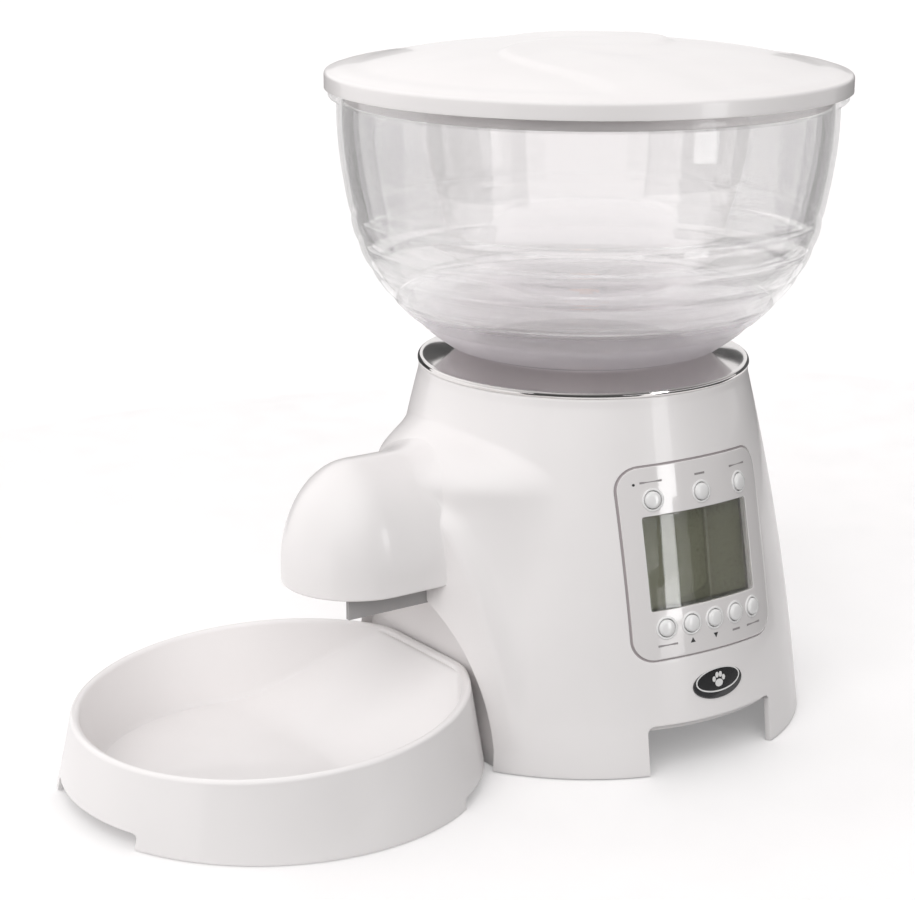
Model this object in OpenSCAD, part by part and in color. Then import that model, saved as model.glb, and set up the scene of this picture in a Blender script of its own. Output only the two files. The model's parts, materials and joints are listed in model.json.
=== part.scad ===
// Automatic pet feeder. A clear hopper feeds a paddle wheel in a metering drum, a geared
// motor under the drum turns it, and the food drops down a chute under a spout cover into
// a loose food bowl. Z is up, the bowl is towards -Y and the control panel faces +X.
// The shapes are written about the upright axis of the round body; at_axis() then moves
// them so that the middle of the feeder's footprint is the origin.

/* [Housing] */
// Height of the white housing
housing_h = 151; // [149:0.5:153]
// Radius of the housing at the floor
base_r = 96; // [95:0.5:98]
// Wall thickness of the housing
wall = 2.5; // [2:0.1:2.8]
// Width of the three cut-outs in the foot of the housing
cutout_w = 65; // [50:1:68]
// Height of the cut-outs
cutout_h = 20.7; // [20.5:0.1:22]

/* [Hopper] */
// Outer radius of the lid
lid_r = 108; // [107:0.5:110]
// Height of the top of the lid above the floor
lid_top_z = 284; // [281:0.5:287]
// Wall thickness of the clear hopper
hopper_wall = 2.2; // [1.8:0.1:2.6]

/* [Bowl] */
// Radius of the bowl's rim
bowl_r = 80; // [78:0.5:81]
// Radius of the foot of the bowl's skirt
bowl_foot_r = 86; // [84:0.5:87]
// Distance from the body's axis to the centre of the bowl
bowl_reach = 155.2; // [154:0.2:157]
// Height of the rim at the centre of the bowl
bowl_h = 34.7; // [33:0.1:36]

/* [Spout] */
// Half the width of the spout cover
spout_r = 30; // [28:0.5:31]
// Height of the spout's lower edge above the floor
spout_rim_z = 75.5; // [75:0.5:77]
// Height of the top of the spout cover
spout_top_z = 125.5; // [123:0.5:127]

/* [Control panel] */
// Half the width of the panel
panel_half_w = 36; // [35.5:0.1:37]
// Height of the panel along its slope
panel_len = 78; // [76:0.5:79]
// Radius of a button's cap
button_r = 3.5; // [3:0.1:3.6]
// How far a button goes in
button_travel = 0.8; // [0.5:0.1:0.8]

/* [Gears] */
// Teeth of the gear on the paddle wheel's shaft
output_teeth = 48; // [48:1:48]
// Teeth of the idler's large gear
idler_large_teeth = 36; // [36:1:36]
// Teeth of the idler's small gear
idler_small_teeth = 12; // [12:1:12]
// Teeth of the motor pinion
pinion_teeth = 10; // [10:1:10]
// Thinning of each tooth, for backlash
backlash = 0.2; // [0.15:0.05:0.3]

/* [Hidden] */
$fn = 72;

// Housing: a cone whose side swells a little; foot_gap is the air under its edge
body_lean = 0.105;
body_swell = 0.0005;
body_step = 25;
foot_gap = 0.6;
deck_t = 3;
deck_hole_r = 50;

// Bulge over the bowl: a sheet at bulge_r, under a round shoulder
bulge_r = 95;
bulge_top_z = 104;
shoulder_y = -45;
shoulder_r = 50;
shoulder_z = 112;
shoulder_rise = 24;

// Recess for the bowl
recess_half_w = 50;
recess_h = 74;
recess_y = -79;

// Spout cover: its middle, the height where its side starts to curve in, and its wall
spout_y = -115;
spout_spring_z = 82;
spout_back_y = -85;
spout_wall = 2.2;

// Drum and paddle wheel
drum_r = 56;
drum_wall = 2;
drum_floor_z = 96.5;
drum_floor_t = 4;
drum_top_z = housing_h - deck_t;
throat_r = 44.5;
throat_z = 141;
port_half_w = 18;
paddle_r = 54;
paddle_z = 104;
paddle_h = 30;
shaft_r = 3;
running = 0.05;

// Chute between the drum and the bowl
chute_half_w = 20.5;
chute_t = 2;
chute_low_z = 66.5;
chute_front_y = -131;
chute_end_y = -88;

// Gear train, all on the line x = 0
gear_module = 1;
pressure_angle = 25;
idler_y = gear_module * (output_teeth + idler_small_teeth) / 2;
motor_y = idler_y + gear_module * (idler_large_teeth + pinion_teeth) / 2;
gear_low_z = 81;
gear_high_z = 87.5;
gear_t = 5.5;
box_z = 78;
box_floor_t = 2;
box_cover_z = drum_floor_z - 2;
box_wall = 2;
box_screws = [[-32, -6], [32, -6], [-21, 50], [21, 50]];

// Base
base_z = 18;
base_t = cutout_h - base_z;
base_r_plate = 90.8;
base_screw_at = 60.8;
leg_x = 46;
leg_y = 71;
leg_r = 4.2;
pad_r = 4;
pad_h = 2.5;
bay_half_x = 52;
bay_half_y = 37;
bay_top_z = 60;
cell_pitch = 34;

// Control panel: its own frame has +X out of the panel and +Z up its slope
panel_z = 86.75;
panel_tilt = atan(body_lean + 2 * body_swell * panel_z);
panel_t = 3.2;
lip_w = 2;
window_y = -1;
window_half_w = 26.8;
window_half_h = 19.2;
window_margin = 0.8;
board_front = -14.5;
module_front = -8.3;
module_t = 2.6;
button_collar_x = -9.3;
board_t = 1.6;
board_half_w = 31;
board_half_h = 34.5;
post_y = 28;
post_z = 32;
top_row_z = 25.6;
low_row_z = -26.4;
top_row_y = [-22.5, 0, 22.5];
low_row_y = [-22, -10.8, 0.8, 12.4, 23.6];
switch_h = 3.5;
plunger_h = 0.7;

// Bowl
bowl_tilt = 3.7;
bowl_wall = 2.2;
bowl_floor_z = 4;
bowl_back_y = -80;
ramp_foot_y = -137;
ramp_rise = 27.5;
ramp_run = 46.7;
skirt_lean = (bowl_foot_r - bowl_r) / bowl_h;
front_notch_w = 66;
front_notch_h = 6.3;
side_notch_h = 4.4;

// The body's axis in the feeder's own frame: half-way between bowl front and lid back
bowl_front = bowl_reach + bowl_foot_r - skirt_lean * (front_notch_h - foot_gap);
axis_y = (bowl_front - lid_r) / 2;

// Radius of the housing: a swelling cone, in straight stretches of body_step
function swelling_r(z) = base_r - body_lean * z - body_swell * z * z;
function body_r(z, off = 0) =
    let (
        z0 = body_step * floor(z / body_step),
        z1 = z0 + body_step
    )
    swelling_r(z0) + (swelling_r(z1) - swelling_r(z0)) * (z - z0) / body_step + off;

// Height of the food ramp at a distance y from the axis
function ramp_z(y) =
    y < ramp_foot_y ? bowl_floor_z
    : min(36.5, bowl_floor_z + ramp_rise * pow((y - ramp_foot_y) / ramp_run, 1.8));

// Panel frame: height of the housing's surface over the panel's own plane
function panel_x(y, z) =
    let (h = panel_z + z * cos(panel_tilt))
    (sqrt(pow(body_r(h), 2) - y * y) - body_r(panel_z)) * cos(panel_tilt)
    + (h - panel_z) * sin(panel_tilt);

function ellipse_arc(a, b, from, to, steps) =
    [for (i = [0:steps]) let (t = from + (to - from) * i / steps) [a * cos(t), b * sin(t)]];

function bezier(p, t) =
    pow(1 - t, 3) * p[0] + 3 * t * pow(1 - t, 2) * p[1]
    + 3 * t * t * (1 - t) * p[2] + pow(t, 3) * p[3];

// Involute gear outline
function involute(rb, a) = [rb * (cos(a) + a * PI / 180 * sin(a)), rb * (sin(a) - a * PI / 180 * cos(a))];
function turn(p, a) = [p[0] * cos(a) - p[1] * sin(a), p[0] * sin(a) + p[1] * cos(a)];
function flank(teeth, sgn) =
    let (
        rp = gear_module * teeth / 2,
        rb = rp * cos(pressure_angle),
        ra = rp + 0.8 * gear_module,
        r0 = max(rb, rp - 0.95 * gear_module),
        a0 = acos(rb / r0),
        half = 90 / teeth - backlash / 2 / rp * 180 / PI
            + (tan(pressure_angle) * 180 / PI - pressure_angle)
    )
    [for (i = [0:4])
        let (
            r = r0 + (ra - r0) * i / 4,
            roll = tan(acos(rb / r)) * 180 / PI,
            p = turn(involute(rb, roll), -half)
        ) [p[0], sgn * p[1]]];
function gear_outline(teeth) =
    let (
        root = gear_module * teeth / 2 - gear_module,
        f = flank(teeth, 1),
        b = flank(teeth, -1),
        edge = atan2(f[0][1], f[0][0])
    )
    [for (k = [0:teeth - 1])
        each [for (p = concat([root * [cos(edge), sin(edge)]], f,
                              [for (i = [4:-1:0]) b[i]], [root * [cos(edge), -sin(edge)]]))
            turn(p, 360 * k / teeth)]];

module at_axis() translate([0, axis_y, 0]) children();
module on_panel() translate([body_r(panel_z), 0, panel_z]) rotate([0, -panel_tilt, 0]) children();
module along_x() rotate([0, 90, 0]) children();
module mirror_x() {
    children();
    mirror([1, 0, 0]) children();
}
// An outline drawn in X and Z, from y_back towards the front
module profile_y(y_back, depth) translate([0, y_back, 0]) rotate([90, 0, 0]) linear_extrude(depth) children();
// An outline drawn in Y and Z, centred on X = 0
module profile_x(width) translate([-width / 2, 0, 0]) rotate([90, 0, 90]) linear_extrude(width) children();
module tube(outer, inner, z, h) translate([0, 0, z]) difference() {
    cylinder(r = outer, h = h);
    translate([0, 0, -1]) cylinder(r = inner, h = h + 2);
}
// A screw whose head is at the bottom
module screw(z, shank_h, shank_r = 1.5, head_r = 2.8, head_h = 2.2) translate([0, 0, z]) difference() {
    union() {
        cylinder(r = shank_r, h = shank_h);
        translate([0, 0, -head_h]) cylinder(r = head_r, h = head_h);
    }
    translate([0, 0, -head_h - 1]) cylinder(r = 1.1, h = 2, $fn = 6);
}

// Housing ------------------------------------------------------------------

module body_solid(off, z0, z1)
    rotate_extrude() polygon(concat(
        [[0, z0], [body_r(z0, off), z0]],
        [for (z = [0:body_step:200]) if (z > z0 && z < z1) [body_r(z, off), z]],
        [[body_r(z1, off), z1], [0, z1]]));

module shoulder(off) translate([0, shoulder_y, 0])
    rotate_extrude() polygon(concat(
        [[0, 60], [shoulder_r + off, 60]],
        [for (p = ellipse_arc(shoulder_r + off, shoulder_rise + off, 0, 90, 7)) p + [0, shoulder_z]]));

module front_bulge(off, z_low) {
    shoulder(off);
    intersection() {
        translate([0, 0, z_low]) cylinder(r = bulge_r + off, h = bulge_top_z + off - z_low);
        profile_y(0, 100) polygon([
            [-58 - off, -1], [-56 - off, 36], [-49 - off, 70], [-37 - off, 100], [-30, bulge_top_z],
            [30, bulge_top_z], [37 + off, 100], [49 + off, 70], [56 + off, 36], [58 + off, -1]]);
    }
}

module arch(grow) polygon(concat(
    [[recess_half_w + grow, -1]],
    ellipse_arc(recess_half_w + grow, recess_h + grow, 0, 180, 24),
    [[-recess_half_w - grow, -1]]));

module boss_places() for (sx = [-1, 1], sy = [-1, 1])
    translate([sx * base_screw_at, sy * base_screw_at, 0]) children();

module panel_outline(grow, x0, x1) on_panel() translate([x0, 0, 0]) rotate([90, 0, 90])
    linear_extrude(x1 - x0) {
        w = panel_half_w + grow;
        h = panel_len / 2 + grow;
        corner = 9 + grow;
        square([2 * w - 2 * corner, 2 * h], center = true);
        square([2 * w, 2 * h - 2 * corner], center = true);
        for (sx = [-1, 1], sy = [-1, 1])
            translate([sx * (w - corner), sy * (h - corner)]) circle(r = corner);
    }

module housing() color("white") difference() {
    union() {
        difference() {
            union() {
                body_solid(0, foot_gap, housing_h);
                front_bulge(0, foot_gap);
            }
            body_solid(-wall, 0, drum_top_z);
            front_bulge(-wall, -1);
        }
        intersection() {
            translate([0, 0, foot_gap]) profile_y(recess_y + wall, 20) arch(wall);
            union() {
                body_solid(0, foot_gap, housing_h);
                front_bulge(0, foot_gap);
            }
        }
        boss_places() translate([0, 0, cutout_h]) cylinder(r = 4.2, h = 24);
    }
    profile_y(recess_y, 30) arch(0);
    translate([-chute_half_w - 0.2, -104, chute_low_z - 0.2]) cube([2 * chute_half_w + 0.4, 29, 50]);
    cylinder(r = deck_hole_r, h = 200);
    boss_places() translate([0, 0, cutout_h - 1]) cylinder(r = 1.5, h = 15);
    panel_outline(0.3, -16, 12);
    for (a = [0, 90, 180]) rotate([0, 0, a])
        translate([70, -cutout_w / 2, -1]) cube([40, cutout_w, cutout_h + 1]);
}

module spout_solid(off, z_low) {
    rise = spout_top_z - spout_spring_z;
    arc = [for (p = ellipse_arc(spout_r + off, rise + off, 0, 90, 8)) p + [0, spout_spring_z]];
    translate([0, spout_y, 0]) rotate([0, 0, 180]) rotate_extrude(angle = 180)
        polygon(concat([[0, z_low], [spout_r + off, z_low]], arc));
    profile_y(spout_back_y, spout_back_y - spout_y) polygon(concat(
        [[spout_r + off, z_low]], arc,
        [for (i = [7:-1:0]) [-arc[i][0], arc[i][1]]], [[-spout_r - off, z_low]]));
}

module spout_cover() color("white") difference() {
    spout_solid(0, spout_rim_z);
    spout_solid(-spout_wall, spout_rim_z - 1);
    translate([0, 0, 60]) cylinder(r = bulge_r + 0.02, h = bulge_top_z + 0.02 - 60);
    shoulder(0.02);
}

// Food path ------------------------------------------------------------------

module feed_chute() color("lightgray") difference() {
    union() {
        mirror_x() translate([chute_half_w - chute_t / 2, 0, 0]) profile_x(chute_t) polygon([
            [-50, 94], [-79.2, chute_low_z], [chute_front_y, chute_low_z], [chute_front_y, 84],
            [-92, 107], [-50, 130]]);
        profile_x(2 * chute_half_w - 1) polygon([
            [-50, 94], [-79.2, chute_low_z], [chute_end_y, chute_low_z], [chute_end_y, 68], [-58, 100.3], [-50, 100.3]]);
        profile_x(2 * chute_half_w - 1) polygon([[-92, 107], [-50, 130], [-50, 128], [-92, 105]]);
    }
    translate([0, 0, 60]) cylinder(r = drum_r + drum_wall + 0.05, h = 90);
}

module metering_drum() color("whitesmoke") difference() {
    union() {
        tube(drum_r + drum_wall, drum_r, drum_floor_z, drum_top_z - drum_floor_z);
        translate([0, 0, drum_floor_z]) cylinder(r = drum_r + 1, h = drum_floor_t);
        tube(drum_r + 1, throat_r, throat_z, 2);
        tube(66, drum_r + 1, drum_top_z - 3, 3);
    }
    translate([-port_half_w, -60, drum_floor_z + drum_floor_t]) cube([2 * port_half_w, 12, 28]);
    translate([0, 0, drum_floor_z - 1]) cylinder(r = 6, h = 9);
    for (p = box_screws) translate([p[0], p[1], drum_floor_z - 1]) cylinder(r = 1.5, h = 4.4);
}

module outlet_baffle() color("whitesmoke") translate([0, 0, 136.5]) intersection() {
    tube(drum_r - 0.02, 14, 0, 2);
    linear_extrude(2) polygon([[0, 0], [-52, -66], [52, -66]]);
}

module paddle_hub() color("orange") difference() {
    union() {
        translate([0, 0, paddle_z - 1]) cylinder(r = 12, h = 31);
        translate([0, 0, paddle_z + 30]) cylinder(r1 = 12, r2 = 7, h = 3);
    }
    cylinder(r = shaft_r, h = paddle_z + 29);
    for (a = [0:60:300]) rotate([0, 0, a]) translate([9, -0.8, paddle_z]) cube([5, 1.6, 40]);
}

module paddle_blades() color("dimgray") for (a = [0:60:300]) rotate([0, 0, a])
    translate([9, -0.8, paddle_z]) cube([paddle_r - 9, 1.6, paddle_h]);

module paddle_shaft() color("silver") translate([0, 0, 78.5]) cylinder(r = shaft_r, h = paddle_z + 29 - 78.5);

module shaft_bushing() color("tan") difference() {
    union() {
        tube(6, shaft_r + running, drum_floor_z, drum_floor_t + 0.5);
        tube(8, shaft_r + running, drum_floor_z + drum_floor_t, 0.5);
    }
}

// Gear train -------------------------------------------------------------------

module gear(teeth, z, h, phase = 0) translate([0, 0, z]) rotate([0, 0, phase])
    linear_extrude(h) polygon(gear_outline(teeth));

module output_gear() color("ivory") difference() {
    union() {
        gear(output_teeth, gear_high_z, gear_t);
        for (a = [0:60:300]) rotate([0, 0, a]) translate([7.2, 0, gear_low_z]) cylinder(r = 1.6, h = 7);
        translate([0, 0, gear_low_z]) cylinder(r = 8, h = 12.5);
    }
    cylinder(r = shaft_r, h = 120);
    for (a = [30:60:330]) rotate([0, 0, a]) translate([15, 0, 80]) cylinder(r = 4, h = 20);
}

module idler_gear() color("ivory") translate([0, idler_y, 0]) difference() {
    union() {
        gear(idler_large_teeth, gear_low_z, gear_t);
        gear(idler_small_teeth, gear_low_z + 1, gear_high_z + gear_t - gear_low_z - 1, 180 / idler_small_teeth);
    }
    cylinder(r = 1.5 + running, h = 120);
}

module idler_pin() color("silver") translate([0, idler_y, box_z + 0.5]) cylinder(r = 1.5, h = 17);

module motor_pinion() color("goldenrod") translate([0, motor_y, 0]) difference() {
    gear(pinion_teeth, gear_low_z, gear_t);
    cylinder(r = 1, h = 120);
}

module motor_shaft() color("silver") translate([0, motor_y, 74.5]) cylinder(r = 1, h = 12);

module motor() color("silver") translate([0, motor_y, 0]) difference() {
    union() {
        translate([0, 0, 48]) cylinder(r = 12, h = 30);
        translate([0, 0, 78]) cylinder(r = 4, h = 2.4);
        translate([0, 0, 46]) cylinder(r = 4.5, h = 2);
        for (s = [-1, 1]) translate([s * 8 - 1.5, -0.4, 43]) cube([3, 0.8, 5.5]);
    }
    translate([0, 0, 74]) cylinder(r = 1 + running, h = 10);
    for (s = [-1, 1]) translate([s * 8, 0, 74]) cylinder(r = 1.2, h = 5);
}

module motor_screws() color("silver") for (s = [-1, 1]) translate([s * 8, motor_y, box_z + box_floor_t])
    rotate([180, 0, 0]) screw(0, 5, 1.2, 2.2, 0.8);

module box_outline(grow) {
    circle(r = 28 + grow);
    translate([-21 - grow, 0]) square([42 + 2 * grow, 50 + grow]);
    translate([0, motor_y]) circle(r = 14 + grow);
}

module box_ears(z, h) for (p = box_screws) translate([p[0], p[1], z]) cylinder(r = 4.5, h = h);

module gearbox_base() color("gainsboro") difference() {
    union() {
        translate([0, 0, box_z]) linear_extrude(box_cover_z - box_z) box_outline(box_wall);
        box_ears(box_z, box_cover_z - box_z);
    }
    difference() {
        translate([0, 0, box_z + box_floor_t]) linear_extrude(40) box_outline(0);
        box_ears(box_z, 60);
    }
    cylinder(r = shaft_r + running, h = 120);
    translate([0, idler_y, box_z + 0.5]) cylinder(r = 1.5, h = 20);
    translate([0, motor_y, 0]) {
        cylinder(r = 4, h = 120);
        for (s = [-1, 1]) translate([s * 8, 0, 0]) cylinder(r = 1.3, h = 120);
    }
    for (p = box_screws) translate([p[0], p[1], 0]) cylinder(r = 1.6, h = 120);
}

module gearbox_cover() color("gainsboro") difference() {
    union() {
        translate([0, 0, box_cover_z]) linear_extrude(drum_floor_z - box_cover_z) box_outline(box_wall);
        box_ears(box_cover_z, drum_floor_z - box_cover_z);
    }
    cylinder(r = shaft_r + running, h = 120);
    translate([0, idler_y, 0]) cylinder(r = 1.5, h = box_z + 17.5);
    for (p = box_screws) translate([p[0], p[1], 0]) cylinder(r = 1.6, h = 120);
}

module gearbox_screws() color("silver") for (p = box_screws) translate([p[0], p[1], 0])
    screw(box_z, 21);

module position_switch() color("black") difference() {
    union() {
        translate([-18, -6.4, box_z + box_floor_t]) cube([6, 12.8, 6.5]);
        translate([-12.2, -5.5, box_z + 3]) rotate([0, 0, -10]) cube([0.5, 9.5, 3]);
        translate([-10.3, 3.6, box_z + 3]) cylinder(r = 1.1, h = 3);
    }
    for (s = [-1, 1]) translate([-25, s * 3.2, box_z + 5]) along_x() cylinder(r = 0.9, h = 20);
}

// Base -------------------------------------------------------------------------

module leg_places() for (sx = [-1, 1], sy = [-1, 1]) translate([sx * leg_x, sy * leg_y, 0]) children();

module base_plate() color("white") difference() {
    union() {
        translate([0, 0, base_z]) cylinder(r = base_r_plate, h = base_t);
        leg_places() translate([0, 0, pad_h]) cylinder(r = leg_r, h = base_z + 0.5 - pad_h);
    }
    translate([-100, -100, 0]) cube([200, 100 + recess_y + wall + 0.2, 40]);
    translate([-bay_half_x - 0.3, -bay_half_y - 0.3, 0]) cube([2 * bay_half_x + 0.6, 2 * bay_half_y + 0.6, 40]);
    boss_places() cylinder(r = 1.6, h = 40);
}

module base_screws() color("silver") boss_places() screw(base_z, 15);

module foot_pads() color("gray") leg_places() cylinder(r = pad_r, h = pad_h);

module battery_tray() color("whitesmoke") difference() {
    union() {
        translate([-bay_half_x - 2, -bay_half_y - 2, cutout_h])
            cube([2 * bay_half_x + 4, 2 * bay_half_y + 4, bay_top_z - cutout_h]);
        translate([-bay_half_x - 5, -bay_half_y - 5, cutout_h]) cube([2 * bay_half_x + 10, 2 * bay_half_y + 10, 2]);
    }
    for (i = [-1:1]) translate([i * cell_pitch - 16.8, -bay_half_y, 0]) cube([33.6, 2 * bay_half_y, bay_top_z - 2]);
}

module battery_contacts() color("silver") for (i = [-1:1]) translate([i * cell_pitch, 0, 40]) {
    translate([-6, bay_half_y - 0.5, -8]) cube([12, 0.5, 16]);
    translate([-6, -bay_half_y, -8]) cube([12, 0.5, 16]);
    for (k = [0:3]) translate([0, -bay_half_y + 1.1 + k * 1.1, 0]) rotate([90, 0, 0])
        rotate_extrude() translate([6 - k, 0]) circle(r = 0.65, $fn = 16);
    translate([0, bay_half_y - 0.5, 0]) rotate([90, 0, 0]) cylinder(r = 3, h = 1);
}

module battery_door() color("white") difference() {
    union() {
        translate([-bay_half_x, -bay_half_y, base_z]) cube([2 * bay_half_x, 2 * bay_half_y, base_t]);
        for (s = [-1, 1]) translate([s * cell_pitch, 0, base_z - 1]) for (k = [-2:2])
            translate([-5, 3 * k - 0.6, 0]) cube([10, 1.2, 1.5]);
    }
    translate([-12, bay_half_y - 10, base_z - 1]) cube([24, 20, 2]);
}

// Control panel ----------------------------------------------------------------

module button_places() {
    for (y = top_row_y) translate([0, y, top_row_z]) children();
    for (y = low_row_y) translate([0, y, low_row_z]) children();
}

module post_places() for (sy = [-1, 1], sz = [-1, 1]) translate([0, sy * post_y, sz * post_z]) children();

module window(grow, x0, x1) on_panel()
    translate([x0, window_y - window_half_w - grow, -window_half_h - grow])
    cube([x1 - x0, 2 * (window_half_w + grow), 2 * (window_half_h + grow)]);

module control_panel() color("white") difference() {
    union() {
        difference() {
            intersection() {
                body_solid(0.5, 30, 140);
                panel_outline(0, -16, 12);
            }
            body_solid(0.5 - panel_t, 20, 145);
        }
        difference() {
            on_panel() post_places() translate([board_front, 0, 0]) along_x() cylinder(r = 2.4, h = 12);
            difference() {
                translate([0, 0, 20]) cylinder(r = 120, h = 120);
                body_solid(0.5 - panel_t / 2, 15, 145);
            }
        }
        difference() {
            intersection() {
                body_solid(-wall - 0.02, 30, 140);
                panel_outline(lip_w, -18, 12);
            }
            body_solid(-wall - 1.5, 20, 145);
            panel_outline(-lip_w, -20, 12);
        }
    }
    window(0, -18, 12);
    on_panel() button_places() translate([-18, 0, 0]) along_x() cylinder(r = button_r + 0.1, h = 30);
    on_panel() post_places() translate([board_front - 1, 0, 0]) along_x() cylinder(r = 1, h = 5);
}

module display_lens() color([0.5, 0.55, 0.5, 0.5]) difference() {
    intersection() {
        body_solid(0.5, 30, 140);
        window(-0.1, -16, 12);
    }
    body_solid(-1.1, 20, 145);
}

// The module and its light lie behind the window and reach past its edges
module display_module() color("darkseagreen") window(window_margin, module_front - module_t, module_front);

module display_backlight() color("white") window(window_margin, board_front, module_front - module_t);

module circuit_board() color("green") on_panel() difference() {
    translate([board_front - board_t, -board_half_w, -board_half_h])
        cube([board_t, 2 * board_half_w, 2 * board_half_h]);
    post_places() translate([-20, 0, 0]) along_x() cylinder(r = 1.2, h = 10);
}

module board_screws() color("silver") on_panel() post_places()
    translate([board_front - board_t, 0, 0]) along_x() screw(0, 5, 1, 2.2, 1.2);

module key_switches() color("dimgray") on_panel() button_places() {
    translate([board_front, -3, -3]) cube([switch_h, 6, 6]);
    translate([board_front + switch_h - 0.1, 0, 0]) along_x() cylinder(r = 1.7, h = plunger_h + 0.1);
}

// A button: a cap that follows the panel's curve, a collar behind the panel and a stem
module button(y, z) color("ghostwhite") {
    intersection() {
        on_panel() translate([button_collar_x, y, z]) along_x() cylinder(r = button_r, h = 20);
        body_solid(1.8, 30, 140);
    }
    on_panel() translate([button_collar_x, y, z]) along_x() cylinder(r = button_r + 0.7, h = 0.8);
    on_panel() translate([board_front + switch_h + plunger_h + button_travel + 0.1, y, z])
        along_x() cylinder(r = 1.7, h = 1);
}
module top_button(i) button(top_row_y[i], top_row_z);
module lower_button(i) button(low_row_y[i], low_row_z);

module badge() color("black") intersection() {
    difference() {
        body_solid(0.5, 10, 60);
        body_solid(0.01, 5, 65);
    }
    translate([60, 0.8, 34.2]) rotate([90, 0, 90]) linear_extrude(60) polygon(ellipse_arc(13, 6.2, 0, 345, 23));
}

// Food bowl --------------------------------------------------------------------

module at_bowl() translate([0, -bowl_reach, 0]) children();

// A frustum about the bowl's axis: foot radius, change of radius per mm of height
module bowl_cone(r_low, per_mm, z0, z1) translate([0, 0, z0])
    cylinder(r1 = r_low, r2 = r_low + per_mm * (z1 - z0), h = z1 - z0);

// Everything above the bowl's floor, lowered by drop
module above_floor(drop) profile_x(200) polygon(concat(
    [[-260, 60], [-260, bowl_floor_z - drop]],
    [for (i = [0:8]) let (y = ramp_foot_y + (-82.2 + drop - ramp_foot_y) * i / 8) [y, ramp_z(y) - drop]],
    [[-82.2 + drop, 60]]));

module food_bowl() color("white") difference() {
    intersection() {
        at_bowl() bowl_cone(bowl_foot_r, -skirt_lean, foot_gap, 45);
        at_bowl() translate([0, 0, bowl_h]) rotate([bowl_tilt, 0, 0]) translate([-100, -100, -80])
            cube([200, 200, 80]);
        translate([-100, -300, -1]) cube([200, 300 + bowl_back_y, 60]);
    }
    intersection() {
        at_bowl() bowl_cone(70, 0.2, bowl_floor_z - 1, 60);
        above_floor(0);
    }
    difference() {
        intersection() {
            at_bowl() bowl_cone(bowl_foot_r - bowl_wall + skirt_lean, -skirt_lean, foot_gap - 1, 36);
            translate([-100, -300, -1]) cube([200, 300 + bowl_back_y - bowl_wall, 60]);
        }
        intersection() {
            at_bowl() bowl_cone(70 + bowl_wall, 0.2, bowl_floor_z - bowl_wall, 60);
            above_floor(bowl_wall);
        }
        at_bowl() translate([0, 0, 24]) cylinder(r = 90, h = 30);
    }
    difference() {
        union() {
            translate([-front_notch_w / 2, -250, 0]) cube([front_notch_w, 60, front_notch_h]);
            mirror_x() at_bowl() rotate([0, 0, 33]) cube([100, 50, side_notch_h]);
        }
        at_bowl() translate([0, 0, -1]) cylinder(r = 78, h = 20);
    }
}

module bowl_pads() color("gray") for (sx = [-1, 1]) {
    translate([sx * 48, -145, 0]) cylinder(r = 6, h = bowl_floor_z - bowl_wall);
    translate([sx * 34, -200, 0]) cylinder(r = 6, h = bowl_floor_z - bowl_wall);
}

// Hopper -----------------------------------------------------------------------

hopper_top_z = 268;
flange_r = 106.4;
flange_z = 262.8;
flange_t = 2.8;
neck_r = 46.5;
neck_z = 143.3;
hopper_curve = [[58.5, 160.8], [75.5, 172.4], [95.5, 190], [98, 216]];

module hopper() color([0.9, 0.9, 0.9, 0.4]) rotate_extrude() polygon(concat(
    [[neck_r, neck_z], [neck_r, 157.6]],
    [for (i = [0:10]) bezier(hopper_curve, i / 10)],
    [[103, 253], [103, flange_z - 2.2], [flange_r, flange_z], [flange_r, flange_z + flange_t],
     [103, flange_z + flange_t], [103, hopper_top_z], [103 - hopper_wall, hopper_top_z], [103 - hopper_wall, 253]],
    [for (i = [10:-1:1]) bezier(hopper_curve, i / 10) + hopper_wall * [-1 + 0.4 * (1 - i / 10), 1 - i / 10]],
    [[neck_r - hopper_wall, 160], [neck_r - hopper_wall, neck_z]]));

module collar_ring() color("silver") rotate_extrude() polygon([
    [46.9, housing_h], [69.3, housing_h], [69.5, housing_h + 0.3], [69.5, housing_h + 2.4],
    [69, housing_h + 2.8], [50, housing_h + 6], [46.9, housing_h + 6]]);

lid_skirt_z = 266;
lid_edge_z = 273;
lid_power = 3.4;

// Height of the lid's top at a radius: flat in the middle, falling away at the edge
function lid_z(r) = lid_edge_z + (lid_top_z - lid_edge_z) * (1 - pow(r / (lid_r - 1), lid_power));

module lid() color("white") rotate_extrude() polygon(concat(
    [[lid_r, lid_skirt_z], [lid_r, lid_edge_z - 2], [lid_r - 0.4, lid_edge_z - 0.7]],
    [for (i = [0:12]) let (r = (lid_r - 1) * (1 - i / 12)) [r, lid_z(r)]],
    [for (i = [12:-1:1]) let (r = (lid_r - 9) * (1 - i / 12)) [r, lid_z(r) - 2.4]],
    [[98.2, hopper_top_z + 1.5], [98.2, 261], [100.4, 261], [100.4, hopper_top_z + 0.2],
     [lid_r - 2.2, hopper_top_z + 0.2], [lid_r - 2.2, lid_skirt_z]]));

// Nodes ------------------------------------------------------------------------

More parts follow.
